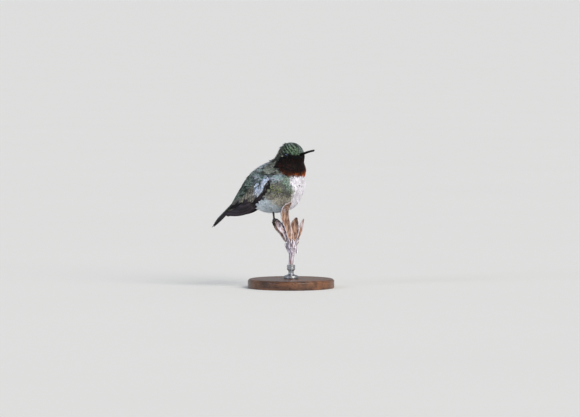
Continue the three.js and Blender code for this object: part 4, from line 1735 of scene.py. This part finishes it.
@dataclass(frozen=True)
class StiffVane:
    """One flight feather or covert: where its middle line runs on the wing or tail, and its outline."""

    start: float
    stop: float
    centre: Pair
    half: float
    layer: float
    green: float = 0.0
    taper: float = 0.3
    point: float = 2.0
    converge: float = 0.25
    # how much of the paler colour shows; below 1 it paints shade on feathers along the wing's leading edge
    worn: float = 1.0
    tilt: float = 0.11

    def shape(self, place: Place, number: int, of: int, rows: int = 30, columns: int = 8) -> Shape:
        """Makes the feather as a closed thin vane.

        Args:
            place: Turns shares along, places across and heights over the wing or tail into points.
            number: Which feather of its piece it is, for its strip on the map.
            of: How many feathers the piece has.
            rows: How many rings of points run along it.
            columns: How many points run across each of its faces.

        Returns:
            The feather.
        """
        v = np.linspace(0, 1, rows)[:, None]
        u, under = two_faced(-1, 1, columns)
        face = 1 - 2 * under
        blunt = np.clip((v - (1 - self.taper)) / self.taper, 0, 1) ** self.point
        width = self.half * np.sqrt(np.clip(1 - blunt, 0.004, 1)) * mix(0.45, 1.0, ease(v, 0, 0.25))
        across = mix(*self.centre, ease(v, 0.0, self.converge)) + u * width
        lens = 0.05 * np.sqrt(np.clip(1 - u**2, 0, 1)) + 0.012
        shaft = 0.09 * ease(np.abs(u), 0.22, 0.0) * (1 - 0.6 * v)
        out = self.layer - self.tilt * u - 0.03 * u**2 + face * lens + (face > 0) * shaft
        along = mix(self.start, self.stop, v) + 0 * u
        # the share of the paler worn colour, at random by the feather's number, scaled down by worn where
        # shade is painted
        shade = self.worn * (number * 0.618 % 1.0) ** 2
        stored = {"vane_x": u, "vane_y": v, "green": self.green, "seed": shade}
        stored = {key: value + 0 * (u + v) for key, value in stored.items()}
        made = closed(place(along, across, out + 0 * v), stored)
        strip = (number + 0.5 + 0.42 * made.values["vane_x"]) / of
        made.flat = np.stack([strip, 0.02 + 0.96 * made.values["vane_y"]], axis=-1)
        return made


@dataclass(frozen=True)
class Wing:
    """A folded wing: coverts over the secondaries, over ten primaries stacked from the leading edge up."""

    side: int
    lean: float = 0.042
    sunk: float = 1.25
    proud: float = 0.2
    primaries: int = 10
    secondaries: int = 6
    coverts: int = 8
    shortest: float = 0.52
    crowd: float = 0.55

    def place(self, t: Array, across: Array, out: Array) -> Array:
        """Points on the wing.

        Args:
            t: Shares along its leading edge.
            across: How far up from the edge each lies.
            out: How far out from the folded wing's face each lies.

        Returns:
            The points.
        """
        at, ahead = wing_edge(t)
        x = at[..., 0] + ahead[..., 2] * across
        z = at[..., 2] - ahead[..., 0] * across
        own = at[..., 1] - self.lean * np.maximum(across, 0) ** 2
        body = FORM.half_width(x, z)
        buried = body - self.sunk + 0.25 * ease(across, 2.5, 0.0)
        clear = np.logaddexp(own * 2.5, (body + self.proud) * 2.5) / 2.5
        y = mix(clear, np.minimum(buried, clear), ease(body, 2.5, 6.0) * ease(t, 0.64, 0.48))
        return np.stack([x, self.side * (y + out), z], axis=-1)

    @staticmethod
    def bares(p: Array, margin: float) -> Array:
        """Whether points lie over the wings' bare leading edges or their long tips.

        Args:
            p: The points.
            margin: How far inside the bare part they must be.

        Returns:
            True for each that does.
        """
        share, across = wing_place(p)
        low, top = wing_bare(share)
        inside = (across > low + margin) & (across < top - margin)
        return inside & (share > 0.12) & (share < 0.97) & (np.abs(p[:, 1]) > 4.0)

    def vanes(self) -> list[StiffVane]:
        """All the wing's feathers.

        Returns:
            The primaries, the secondaries over them and two rows of coverts.
        """
        found = []
        for n in range(self.primaries):
            share = n / (self.primaries - 1)
            tip = mix(self.shortest, 1.0, share**self.crowd)
            centre = (mix(4.0, 1.6, share), mix(7.4, 1.5, share))
            # painted shade: primaries nearer the leading edge show less of their paler colour
            worn = mix(1.0, 0.5, share)
            found.append(StiffVane(0.2, tip, centre, half=1.5, layer=0.75 - 0.08 * n, taper=0.44, worn=worn))
        for n in range(self.secondaries):
            share = n / (self.secondaries - 1)
            centre = (mix(3.4, 6.4, share), mix(6.4, 9.0, share))
            tip = mix(0.50, 0.42, share)
            found.append(StiffVane(0.16, tip, centre, half=1.25, layer=0.5 + 0.04 * n, green=0.25))
        for row, (start, length, layer, green) in enumerate(((0.2, 0.17, 0.62, 0.5), (0.1, 0.16, 0.7, 0.8))):
            for n in range(self.coverts):
                across = 0.9 + 1.0 * n + 0.4 * row
                stop = start + length * mix(0.85, 1.05, n / (self.coverts - 1))
                # painted shade: coverts near the leading edge show less of their paler colour
                shown, worn = green * float(ease(across, 2.2, 5.0)), float(ease(across, 2.5, 4.5))
                centre = (across, across + 0.1)
                high = layer + 0.012 * n
                found.append(StiffVane(start, stop, centre, 0.85, high, green=shown, taper=0.55, worn=worn))
        return found

    def build(self) -> None:
        """Makes the piece."""
        vanes = self.vanes()
        shape = Shape.join([v.shape(self.place, n, len(vanes)) for n, v in enumerate(vanes)])
        name = side_name(self.side)
        if self.side < 0:
            shape.faces = shape.faces[:, ::-1]
        finish = FlightFinish(f"wing_{name}_finish", (11, 9, 11), (78, 70, 74))
        shape.build(f"wing_{name}_feathers", finish.build(), "flight_feathers", f"wing_{name}")


@dataclass(frozen=True)
class Tail:
    """Ten tail feathers in a low roof, the middle pair on top and the outer ones longest."""

    tip: Pair = (-45.9, -11.8)
    slope: float = 45.5
    length: float = 27.0
    fork: float = 6.5
    root_half: float = 3.3
    tip_half: float = 3.9
    roof: float = 1.3
    thick: float = 0.8
    pairs: int = 5
    green: tuple[float, ...] = (1.0, 0.35, 0.0, 0.0, 0.0)

    def place(self, distance: Array, across: Array, out: Array) -> Array:
        """Points on the tail.

        Args:
            distance: How far from its root each lies.
            across: The share of the way out to its side.
            out: How far up from its face each lies.

        Returns:
            The points.
        """
        a = math.radians(self.slope)
        along, up = vec(-math.cos(a), 0, -math.sin(a)), vec(-math.sin(a), 0, math.cos(a))
        root = vec(self.tip[0], 0, self.tip[1]) - along * self.length
        p = distance / self.length
        half = mix(self.root_half, self.tip_half, p) * (1 - 0.3 * ease(p, 0.6, 1) ** 2)
        drop = self.roof * np.abs(across) ** 1.6 * mix(0.7, 1.0, p)
        height = out - drop - self.thick / 2
        aside = (half * across)[..., None] * vec(0, 1, 0)
        return root + distance[..., None] * along + height[..., None] * up + aside

    def build(self) -> None:
        """Makes the piece."""
        vanes = []
        for pair in reversed(range(self.pairs)):
            for side in (-1, 1):
                middle = side * (pair + 0.42) / self.pairs * 0.92
                reach = self.length - self.fork * (1 - (pair + 1) / self.pairs) - 0.2
                vanes.append(StiffVane(
                    4.0, reach, (middle * 0.7, middle), half=0.27, layer=0.26 - 0.13 * pair + 0.02 * side,
                    green=self.green[pair], taper=0.32, point=1.5, converge=0.6, tilt=0.0,
                ))
        shape = Shape.join([v.shape(self.place, n, len(vanes), 34, 9) for n, v in enumerate(vanes)])
        finish = FlightFinish("tail_finish", (9, 8, 9), (84, 78, 76), (40, 36, 38))
        shape.build("tail_feathers", finish.build(), "flight_feathers", "tail")


# -------------------- bill, eyes and legs


@dataclass(frozen=True)
class Bill:
    """The long thin bill: two mandibles that meet in a fine gape line, with slit nostrils at the root."""

    root: float = 6.6
    tip: float = 22.3
    rise: float = 3.75
    sag: float = 0.4
    split: float = 0.05
    root_half: Pair = (1.25, 1.15)
    tip_half: Pair = (0.52, 0.52)
    flare: float = 3.0
    overbite: float = 0.3

    def curve(self, stop: float) -> Spline:
        """The middle line, which sags a little.

        Args:
            stop: How far in front of the head's middle it ends.

        Returns:
            The line from the root.
        """

        def rise_at(x: float) -> float:
            """The line's height at a place along it."""
            return self.rise * (x - self.root) / (self.tip - self.root)

        middle = mix(self.root, self.tip, 0.55)
        a = FORM.on_head(self.root, 0, 0)
        b = FORM.on_head(middle, 0, rise_at(middle) + 2 * self.sag)
        c = FORM.on_head(stop, 0, rise_at(stop))
        t = np.linspace(0, 1, 12)[:, None]
        return Spline((1 - t) ** 2 * a + 2 * t * (1 - t) * b + t**2 * c)

    def mandible(self, upper: int) -> Shape:
        """One half of the bill.

        Args:
            upper: 1 for the upper one and -1 for the lower.

        Returns:
            Its horn sheath.
        """

        def offset(t: Array, a: Array) -> tuple[Array, Array]:
            """The section.

            Args:
                t: Shares of the length.
                a: Turns about the middle line.

            Returns:
                How far the skin stands off sideways and upwards.
            """
            share = np.exp(-self.flare * t)
            end = round_end(t, 0.965, 0.02)
            width = mix(self.tip_half[0], self.root_half[0], share) * end * (1.0 if upper > 0 else 0.9)
            depth = mix(self.tip_half[1], self.root_half[1], share) * end
            lift = np.maximum(np.sin(a), 0) ** 0.85
            nostril = 0.16 * np.exp(-(((t - 0.14) / 0.035) ** 2) - ((lift - 0.42) / 0.22) ** 2) * (upper > 0)
            ridge = 0.05 * np.exp(-((np.cos(a) / 0.25) ** 2)) * ease(t, 0.5, 0.1) * (upper > 0)
            above = self.split + np.maximum(depth - self.split, 0.02) * lift + ridge
            return (width - nostril * 1.3) * np.cos(a), upper * above

        curve = self.curve(self.tip - (0.0 if upper > 0 else self.overbite))
        made = tube(curve, 70, 28, offset)
        if upper < 0:
            made.faces = made.faces[:, ::-1]
        return made

    def build(self) -> None:
        """Makes both pieces."""
        for upper, name in ((1, "upper"), (-1, "lower")):
            finish = horn(f"bill_{name}_finish")
            self.mandible(upper).build(f"bill_{name}_sheath", finish.build(), "bill", f"bill_{name}")


@dataclass(frozen=True)
class Eye:
    """A dark wet eye in its ring of lids."""

    side: int
    opening: float = 1.44
    lid: float = 0.08

    def directions(self) -> tuple[Array, Array, Array]:
        """The eye's own directions.

        Returns:
            The way it looks, and the ways to its side and up across that.
        """
        out = unit(FORM.eye_at(self.side) - FORM.on_head(1.2, 0, 0.0))
        side = unit(np.cross(UP, out))
        return out, side, np.cross(out, side)

    def ball(self) -> Shape:
        """The eyeball, with a cornea that bulges a little.

        Returns:
            The ball, which stores how far each point lies from the middle of the pupil.
        """
        out, side, up = self.directions()
        latitudes = np.linspace(0.02, math.pi - 0.02, 40)
        longitudes = np.linspace(0, math.tau, 56, endpoint=False)
        polar, turn = np.meshgrid(latitudes, longitudes, indexing="ij")
        outer, front = np.sin(polar), np.cos(polar)
        bulge = FORM.eye.radius * (0.985 + 0.05 * ease(outer, 0.8, 0.0) * (front > 0))
        ball = (outer * np.cos(turn))[..., None] * side + (outer * np.sin(turn))[..., None] * up
        ball = (ball + front[..., None] * out) * bulge[..., None] + FORM.eye_at(self.side)
        made = closed(ball)
        share = np.where(front > 0, outer, 1.0).ravel()
        return Shape(made.points, made.faces[:, ::-1], {"polar": np.concatenate([share, [0.0, 1.0]])})

    def lids(self) -> Shape:
        """The wrinkled ring of lids.

        Returns:
            The ring, which stores the way round it in millimetres.
        """
        rows, columns = 97, 13
        out, side, up = self.directions()
        middle = FORM.eye_at(self.side)
        turn = np.linspace(0, math.tau, rows)[:, None]
        ring = self.opening * (1 + 0.07 * np.abs(np.cos(turn)) ** 6)
        depth = np.sqrt(np.clip(FORM.eye.radius**2 - ring**2, 0.1, None))
        path = middle + ring * (np.cos(turn) * side + np.sin(turn) * up * 0.94) + depth * out
        around = np.linspace(0, math.tau, columns)[None]
        radial = unit(path - middle - ((path - middle) @ out)[:, None] * out)
        fold = 1 + 0.14 * np.sin(turn * 26) * (np.cos(around) > 0)
        wide, deep = self.lid * 1.5 * fold, self.lid * fold
        points = path[:, None] + (wide * np.cos(around))[..., None] * radial[:, None]
        points = points + (deep * np.sin(around) - 0.4 * wide * np.cos(around))[..., None] * out
        along = np.broadcast_to(turn * self.opening, (rows, columns)).ravel()
        return Shape(points.reshape(-1, 3), grid_faces(rows, columns), {"along": along})

    def build(self) -> Piece:
        """Makes both pieces.

        Returns:
            The eyeball.
        """
        name = side_name(self.side)
        wet = EyeFinish(f"eyeball_{name}_finish").build()
        eyeball = self.ball().build(f"eyeball_{name}", wet, "eye", f"eye_{name}")
        finish = ScaleFinish(f"eyelids_{name}_finish", 22.0, (7, 6, 6), (20, 18, 19), (30, 28, 30))
        self.lids().build(f"eyelids_{name}", finish.build(), "leg")
        return eyeball


@dataclass(frozen=True)
class Leg:
    """A short thin leg with plates, four toes closed on the perch and curved claws."""

    name: str
    hock: Triple
    ball: Triple
    off: Triple
    along: Triple
    hip: float = 2.2
    tarsus: float = 0.52
    toe: float = 0.42
    claw: float = 0.3
    grip: float = 1.0
    reach: float = 1.7
    spread: float = 1.4

    def limb(self, points: Sequence[Array], thick: float, thin: float, knuckles: float, rows: int) -> Shape:
        """A plated tube with joints that swell.

        Args:
            points: What it runs through.
            thick: Its radius at its start.
            thin: Its radius near its end.
            knuckles: How many joints it has.
            rows: How many rings of points it has.

        Returns:
            The tube.
        """
        curve = Spline(points)

        def offset(t: Array, a: Array) -> tuple[Array, Array]:
            """The section.

            Args:
                t: Shares of the length.
                a: Turns about the middle line.

            Returns:
                How far the skin stands off sideways and upwards.
            """
            r = mix(thick, thin, ease(t, 0.0, 0.85))
            plate = 1 + 0.05 * np.sin(t * curve.length * 14.0) * (np.sin(a) > -0.3)
            swell = 1 + 0.14 * np.maximum(np.cos(t * math.tau * knuckles), 0) ** 3
            r = r * plate * swell * round_end(t, 0.93)
            return r * np.cos(a), r * np.sin(a)

        def stored(t: Array, a: Array) -> dict[str, Array]:
            """How far along each point is, in millimetres."""
            return {"along": t * curve.length + 0 * a}

        return tube(curve, rows, 14, offset, vec(0.3, 0.2, 1), stored)

    def build(self) -> None:
        """Makes the shin with its toes as one piece and the four claws as another."""
        up, hock, top = unit(vec(*self.off)), vec(*self.hock), vec(*self.ball)
        spread = unit(vec(*self.along) - (vec(*self.along) @ up) * up)
        side = np.cross(spread, up)

        def place(outwards: float, sideways: float, down: float) -> Array:
            """A point round the perch from the ball of the foot."""
            return top + side * outwards + spread * sideways - up * down

        shin = [hock + self.hip * UP, hock, mix(hock, top, 0.6), top - 0.1 * up]
        limbs = [self.limb(shin, self.tarsus * 1.45, self.tarsus, 1.0, 60)]
        claws = []
        toes = ((1, -self.spread, 0.85), (1, 0, 1.0), (1, self.spread, 0.85), (-1, 0, 0.7))
        for way, fan, share in toes:
            g, low = self.grip, self.grip + self.reach * share
            knuckle, tip = place(way * g, fan, low - 0.15), place(way * (g + 0.02), fan, low + 0.25)
            first = [place(-way * 0.25, 0, 0), place(way * g * 0.75, fan * 0.5, g * 0.3)]
            toe = [*first, place(way * g, fan * 0.8, g * 1.1), knuckle, tip]
            limbs.append(self.limb(toe, self.toe * 1.05, self.toe * 0.72, 3.0, 64))
            hook = [place(way * (g + 0.02), fan, low + 0.75), place(way * g * 0.78, fan, low + 1.1)]
            claws.append(self.limb([knuckle, tip, *hook], self.claw, 0.05, 0.0, 24))
        name = f"leg_{self.name}"
        foot = Shape.join(limbs)
        foot.build(f"{name}_plates", ScaleFinish(f"{name}_finish", 14.0).build(), "leg", name)
        nails = Shape.join(claws)
        nails.values = {}
        nails.build(f"{name}_claws", horn(f"{name}_claws_finish").build(), "leg")


# -------------------- perch and stand


@dataclass(frozen=True)
class Pod:
    """A dry seed pod that has split open: a curled shell, silvery outside and rusty inside."""

    name: str
    keel: tuple[Triple, ...]
    half: float
    widest: float
    open: Triple
    curl: float
    foot: float
    tip: float
    lip: float = 0.22
    rot: float = 0.0
    flesh: Colour = (208, 174, 154)
    wall: float = 0.5
    root: float = 0.12

    def build(self, seed: int) -> None:
        """Makes the shell, wrinkled lengthwise, with a worn wavy rim.

        Args:
            seed: The seed of its chance wrinkles and wear.
        """
        rng = np.random.default_rng(seed)
        curve, facing = Spline(self.keel), unit(vec(*self.open))
        rows, columns = 90, 44
        p = np.linspace(0, 1, rows)
        centre, ahead = curve.at(p), curve.ahead(p)
        out = unit(facing - (ahead @ facing)[:, None] * ahead)
        across = np.cross(ahead, out)
        q, inner = two_faced(0, 1, columns)
        pp = p[:, None]
        rise = mix(self.foot, 1.0, ease(pp / self.widest, 0, 1)) * mix(0.45, 1.0, ease(pp, 0.0, self.root))
        fall = mix(1.0, self.tip, (np.clip(pp - self.widest, 0, 1) / (1 - self.widest)) ** 2.2)
        curl = math.radians(self.curl)
        radius = np.maximum(self.half * rise * fall / math.sin(min(curl, math.pi / 2)), 0.35)

        def waves(size: float, counts: Iterable[int], over: Array) -> Array:
            """Waves of chance size and phase, this many to the whole length or width."""
            turns = over * math.tau
            return sum(rng.normal(0, size) * np.sin(turns * k + rng.uniform(0, math.tau)) for k in counts)

        wrinkle = waves(0.024, (3, 4, 6, 7, 9, 11, 13), q + 0.12 * waves(0.5, (1, 2), pp))
        dent = waves(0.03, (1, 2, 3), pp) * np.cos(q * 5 + seed)
        worn = waves(0.024, (1, 2, 3), pp)
        worn = worn + waves(0.009, (5, 8, 13, 17), pp + 0.05 * waves(1.0, (1, 2), pp))
        edge = np.abs(2 * q - 1)
        angle = curl * (2 * q - 1) * (1 + worn * ease(edge, 0.5, 1.0))
        wall = np.minimum(self.wall, 0.8 * radius) * mix(1.0, 0.45, ease(edge, 0.7, 1.0))
        r = radius * (0.97 + (wrinkle + dent) * mix(1.0, 0.6, inner)) - inner * wall
        points = (
            centre[:, None]
            + (r * np.sin(angle))[..., None] * across[:, None]
            + (self.half * 0.4 - r * np.cos(angle))[..., None] * out[:, None]
        )
        lip = self.lip * mix(0.3, 1.0, q) * (1 + waves(0.2, (1, 2, 3, 5), pp))
        # darker towards the tip, more so on the inner face
        rot = self.rot * ease(pp + 0.03 * waves(1.0, (2, 3), q), 0.82, 0.9) * mix(0.6, 1.0, inner)
        grid = {"inside": inner + 0 * pp, "rim": ease(edge, 1.0 - lip, 1.0) * (1 - rot), "rot": rot}
        shape = closed(points, grid)
        finish = DryFinish(f"pod_{self.name}_finish", rust=self.flesh)
        shape.build(f"pod_{self.name}_shell", finish.build(), "dry_pod", f"perch_pod_{self.name}")


PODS: tuple[Pod, ...] = (
    Pod(
        "left", ((-1.9, 0.5, -20.2), (-3.6, 0.3, -15.8), (-5.9, -0.8, -12.0), (-8.4, -2.1, -8.4)),
        half=3.2, widest=0.55, open=(-0.84, -0.52, -0.2), curl=108, foot=0.56, tip=0.84, lip=0.3, rot=1.0,
    ),
    Pod(
        "middle",
        ((-0.3, -1.7, -20.2), (-1.6, -2.2, -12.0), (-2.7, -3.9, -6.5), (-1.6, -7.4, -1.6), (1.9, -9.3, 2.2)),
        half=2.7, widest=0.62, open=(0.6, -0.8, 0.1), curl=78, foot=0.5, tip=0.24,
    ),
    Pod(
        "right", ((1.7, 0.9, -20.2), (1.8, 0.9, -14.8), (2.0, 0.9, -10.6), (3.0, 0.7, -6.8)),
        half=2.6, widest=0.5, open=(0.2, -0.98, 0.0), curl=90, foot=0.62, tip=0.3,
    ),
    # Painted shade: the far pod's flesh is a darker rust than the other pods', so that it looks less lit.
    Pod(
        "far", ((2.5, 2.5, -20.3), (4.2, 3.6, -15.2), (5.2, 3.6, -11.0), (6.3, 3.3, -7.6)),
        half=1.25, widest=0.55, open=(0.75, -0.65, 0.0), curl=90, foot=0.6, tip=0.4, flesh=(166, 128, 106),
    ),
)


@dataclass(frozen=True)
class Stem:
    """The cut length of stem with its swollen crown, a thin stalk and a hanging bract."""

    foot: float = -33.0
    head: float = -20.8
    lean: float = 0.8
    radius: float = 1.5
    crown: float = 2.2
    crown_at: float = -21.8
    knot_at: float = -26.0

    def build(self) -> None:
        """Makes the piece."""

        def offset(t: Array, a: Array) -> tuple[Array, Array]:
            """The stem's section.

            Args:
                t: Shares of the length.
                a: Turns about the middle line.

            Returns:
                How far the bark stands off sideways and upwards.
            """
            z = mix(self.foot, self.head, t)
            swell = 0.35 * np.exp(-(((z - self.knot_at) / 1.1) ** 2))
            crown = (self.crown - self.radius) * ease(z, self.crown_at - 3.2, self.crown_at)
            ridges = 1 + 0.05 * np.cos(5 * a) + 0.018 * np.cos(13 * a + 0.8 * z)
            ridges = ridges + 0.012 * np.cos(21 * a - 0.5 * z) - 0.02
            r = (self.radius + swell + crown) * ridges
            return r * np.cos(a), r * np.sin(a)

        def bare(t: Array, a: Array) -> dict[str, Array]:
            """Nothing of the stem is the inside or rim of a pod."""
            return {"inside": 0 * (t + a), "rim": 0 * (t + a)}

        half_way = (self.lean * 0.5, 0, (self.foot + self.head) / 2)
        line = Spline([(0, 0, self.foot), half_way, (self.lean, 0, self.head)])
        shapes = [tube(line, 90, 72, offset, vec(0, 1, 0), bare)]
        twigs = (
            (((-0.5, 0.3, -27.4), (-2.2, 0.5, -24.0), (-3.2, 0.5, -21.2)), 0.7, 0.8),
            (((0.9, -0.4, -22.2), (2.8, -0.8, -23.6), (3.6, -0.9, -27.0)), 0.95, 0.4),
        )
        for points, thick, thin in twigs:

            def twig(t: Array, a: Array, thick: float = thick, thin: float = thin) -> tuple[Array, Array]:
                """The twig's section.

                Args:
                    t: Shares of the length.
                    a: Turns about the middle line.
                    thick: The radius at the start.
                    thin: The radius near the end.

                Returns:
                    How far the bark stands off sideways and upwards.
                """
                r = mix(thick, thin, t) * (1 + 0.08 * np.cos(5 * a + 4 * t) + 0.05 * np.sin(31 * t))
                r = r * round_end(t, 0.92)
                return r * np.cos(a), 0.8 * r * np.sin(a)

            shapes.append(tube(Spline(points), 40, 20, twig, vec(0, 1, 0), bare))
        finish = DryFinish("stem_finish", (246, 240, 250), (130, 116, 126))
        Shape.join(shapes).build("stem_bark", finish.build(), "dry_stem", "perch_stem")


@dataclass(frozen=True)
class Calyx:
    """The ring of dry pointed lobes that clasps the feet of the pods."""

    seed: int = 5
    lobes: int = 8
    foot: Pair = (1.9, -23.9)
    waist: Pair = (2.75, -21.2)
    tip: Pair = (3.15, -18.4)
    middle: Pair = (0.55, 0.35)
    stretch: float = 1.12
    half: float = 1.35
    wall: float = 0.22

    def lobe(self, rng: Chance, number: int) -> Shape:
        """Makes one lobe.

        Args:
            rng: The source of chance.
            number: Which one it is, round the stem.

        Returns:
            The lobe as a closed thin leaf.
        """
        rows, columns = 34, 10
        v = np.linspace(0, 1, rows)[:, None]
        u, inner = two_faced(-1, 1, columns)
        layer = 0.16 * (number % 2)
        long = rng.uniform(0.78, 1.12)
        bow = (1 - v) ** 2 * self.foot[0] + 2 * v * (1 - v) * (2 * self.waist[0] - 2.5) + v**2 * self.tip[0]
        height = mix(self.foot[1], self.tip[1], v * long) + 0.12 * np.sin(5 * v + number)
        width = self.half * mix(0.62, 1.0, ease(v, 0.0, 0.45)) * np.sqrt(np.clip(1 - v**2.6, 0.003, 1))
        wave = 0.07 * np.sin(9 * v + 2.1 * number) * u**2 + 0.05 * np.sin(7 * u + number)
        wall = inner * self.wall * np.sqrt(np.clip(1.02 - u**2, 0, 1))
        radius = bow + layer + wave + 0.10 * (1 - u**2) - wall
        turn = math.tau * (number + rng.uniform(-0.12, 0.12)) / self.lobes + u * width / bow
        x = self.middle[0] * ease(v, 0, 1) + 0.6 + radius * np.cos(turn) * mix(1.0, self.stretch, v)
        y = self.middle[1] * ease(v, 0, 1) + radius * np.sin(turn)
        stored = {"inside": inner + 0 * v, "rim": ease(np.abs(u), 0.8, 1.0) + 0 * v}
        return closed(np.stack([x, y, height + 0 * u], axis=-1), stored)

    def build(self) -> None:
        """Makes the piece."""
        rng = np.random.default_rng(self.seed)
        shape = Shape.join([self.lobe(rng, n) for n in range(self.lobes)])
        finish = DryFinish("calyx_finish", (240, 232, 242), (112, 98, 108))
        shape.build("calyx_lobes", finish.build(), "dry_stem")


@dataclass(frozen=True)
class Stand:
    """A turned wooden base with a chamfer and a fine groove, and a steel rod with a collar and a cup."""

    radius: float = 24.0
    height: float = 5.0
    bevel: float = 0.9
    rod: float = 1.5
    foot: float = 4.2
    cup: float = 2.3
    rod_low: float = 5.3
    rod_high: float = 12.7

    @staticmethod
    def rounded(corners: Sequence[Triple]) -> list[Pair]:
        """A profile whose corners are cut by small curves.

        Args:
            corners: Its corners, each by radius, height and rounding.

        Returns:
            The profile, in pairs of radius and height.
        """
        found = []
        for n, (r, z, size) in enumerate(corners):
            here = vec(r, z)
            if size == 0 or n in (0, len(corners) - 1):
                found.append((r, z))
                continue
            before, after = vec(*corners[n - 1][:2]), vec(*corners[n + 1][:2])
            a, b = here + unit(before - here) * size, here + unit(after - here) * size
            for t in np.linspace(0, 1, 6):
                found.append(tuple((1 - t) ** 2 * a + 2 * t * (1 - t) * here + t**2 * b))
        return found

    def build(self) -> None:
        """Makes the base and the rod."""
        r, h, b = self.radius, self.height, self.bevel
        disc = self.rounded([
            (0.01, 0, 0), (8, 0, 0), (r - 0.3, 0, 0), (r, 0.3, 0.12), (r, h - b, 0.25), (r - b, h, 0.25),
            (r - 3.2, h, 0.08), (r - 3.4, h - 0.22, 0.08), (r - 3.7, h - 0.22, 0.08), (r - 3.9, h, 0.08),
            (r * 0.6, h, 0), (8, h, 0), (0.01, h, 0),
        ])
        wood = WoodFinish("base_wood_finish").build()
        lathe(disc, 160).build("stand_base_turned", wood, "stand_base", "stand_base")
        low, high, foot, cup = self.rod_low, self.rod_high, self.foot, self.cup
        bar = self.rounded([
            (0.01, low, 0), (foot, low, 0.1), (foot, low + 1.1, 0.3), (foot - 0.5, low + 1.5, 0.3),
            (self.rod + 0.7, low + 2.0, 0.5), (self.rod, low + 2.4, 0.3), (self.rod, high - 3.2, 0.3),
            (cup, high - 2.6, 0.3), (cup, high - 1.5, 0.1), (cup - 0.14, high - 1.4, 0.08),
            (cup - 0.14, high - 1.15, 0.08), (cup, high - 1.05, 0.1), (cup, high, 0.15), (0.01, high, 0),
        ])
        lathe(bar, 96).build("stand_rod_turned", steel("rod_steel_finish").build(), "stand_rod", "stand_rod")


# -------------------- studio


@dataclass(frozen=True)
class Studio:
    """A plain pale floor, soft light from high on the right and a long lens."""

    azimuth: float = 12.0
    elevation: float = 3.0
    distance: float = 2.4
    field: float = 0.322
    sensor: float = 36.0
    aim: Triple = (-0.6, 0.0, 44.1)
    floor_half: float = 80.0
    sky: Colour = (232, 236, 242)
    sky_strength: float = 0.47

    def towards(self, right: float, up: float, front: float) -> Vector:
        """A direction given as seen by the camera.

        Args:
            right: How far it goes to the camera's right.
            up: How far it goes up.
            front: How far it goes towards the camera.

        Returns:
            The direction.
        """
        a = math.radians(self.azimuth)
        across, back = Vector((math.cos(a), math.sin(a), 0)), Vector((math.sin(a), -math.cos(a), 0))
        return (across * right + back * front + Vector((0, 0, up))).normalized()

    def lamp(
        self, name: str, way: Vector, width: float, strength: float, colour: Colour,
        only: Sequence[Piece] = (),
    ) -> None:
        """Adds a far soft light.

        Args:
            name: Its name.
            way: The way to it.
            width: How wide it looks, in degrees.
            strength: How strong it is.
            colour: Its colour.
            only: The objects it lights, where it doesn't light them all.
        """
        light = bpy.data.lights.new(name, "SUN")
        light.angle, light.energy, light.color = math.radians(width), strength, paint(colour)[:3]
        thing = bpy.data.objects.new(name, light)
        thing.rotation_euler = way.to_track_quat("Z", "Y").to_euler()
        bpy.context.scene.collection.objects.link(thing)
        if only:
            thing.light_linking.receiver_collection = bpy.data.collections.new(f"{name}_receivers")
            for lit in only:
                thing.light_linking.receiver_collection.objects.link(lit)

    def catchlight(self, eyes: Sequence[Piece]) -> None:
        """A small bright lamp that only the eyes reflect."""
        way = self.towards(-0.35, 0.74, 0.57)
        self.lamp("catchlight", way, width=14.0, strength=6.0, colour=(160, 196, 255), only=eyes)

    def build(self) -> None:
        """Makes the floor, world, lights and camera."""
        half = self.floor_half
        corners = [(-half, -half, 0), (half, -half, 0), (half, half, 0), (-half, half, 0)]
        mesh = bpy.data.meshes.new("floor")
        mesh.from_pydata(corners, [], [(0, 1, 2, 3)])
        mesh.materials.append(FloorFinish("floor_finish").build())
        floor = bpy.data.objects.new("floor", mesh)
        bpy.context.scene.collection.objects.link(floor)

        world = bpy.data.worlds.new("studio")
        world.use_nodes = True
        sky = world.node_tree.nodes["Background"]
        sky.inputs["Color"].default_value = paint(self.sky)
        sky.inputs["Strength"].default_value = self.sky_strength
        bpy.context.scene.world = world
        self.lamp("key", self.towards(0.7, 0.8, 0.85), width=46.0, strength=3.1, colour=(255, 250, 243))
        self.lamp("fill", self.towards(-0.9, 0.45, 0.6), width=20.0, strength=0.7, colour=(206, 224, 255))

        camera = bpy.data.cameras.new("camera")
        camera.sensor_width = self.sensor
        camera.lens = self.sensor * self.distance / self.field
        camera.clip_end = 200.0
        eye = bpy.data.objects.new("camera", camera)
        e = math.radians(self.elevation)
        way = (self.towards(0, 0, 1) * math.cos(e) + Vector((0, 0, math.sin(e)))).normalized()
        eye.location = Vector(self.aim) * MM + way * self.distance
        eye.rotation_euler = way.to_track_quat("Z", "Y").to_euler()
        bpy.context.scene.collection.objects.link(eye)
        bpy.context.scene.camera = eye
        bpy.context.scene.view_settings.view_transform = "Standard"


FIRST_POD_SEED = 20

LEGS: tuple[Leg, ...] = (
    Leg(
        "right", hock=(-9.6, -2.9, -2.2), ball=(-9.1, -2.5, -7.8),
        off=(-0.35, 0.0, 0.94), along=(0.1, 1.0, 0.0),
    ),
    Leg(
        "left", hock=(-6.4, 2.4, -2.4), ball=(-4.9, 0.6, -6.3),
        off=(-0.75, 0.2, 0.6), along=(0.35, 0.3, 0.85),
    ),
)


def main() -> None:
    """Builds the bird, its perch, its stand and the studio."""
    logging.basicConfig(level=logging.INFO, format="%(name)s %(message)s")
    studio = Studio()
    studio.build()
    skin = Skin()
    shape = skin.shape()
    skin.build(shape)
    Coat(shape).build()
    for side in (1, -1):
        Wing(side).build()
    studio.catchlight([Eye(side).build() for side in (1, -1)])
    Tail().build()
    Bill().build()
    for leg in LEGS:
        leg.build()
    for number, pod in enumerate(PODS):
        pod.build(FIRST_POD_SEED + number)
    Stem().build()
    Calyx().build()
    Stand().build()


if __name__ == "__main__":
    main()
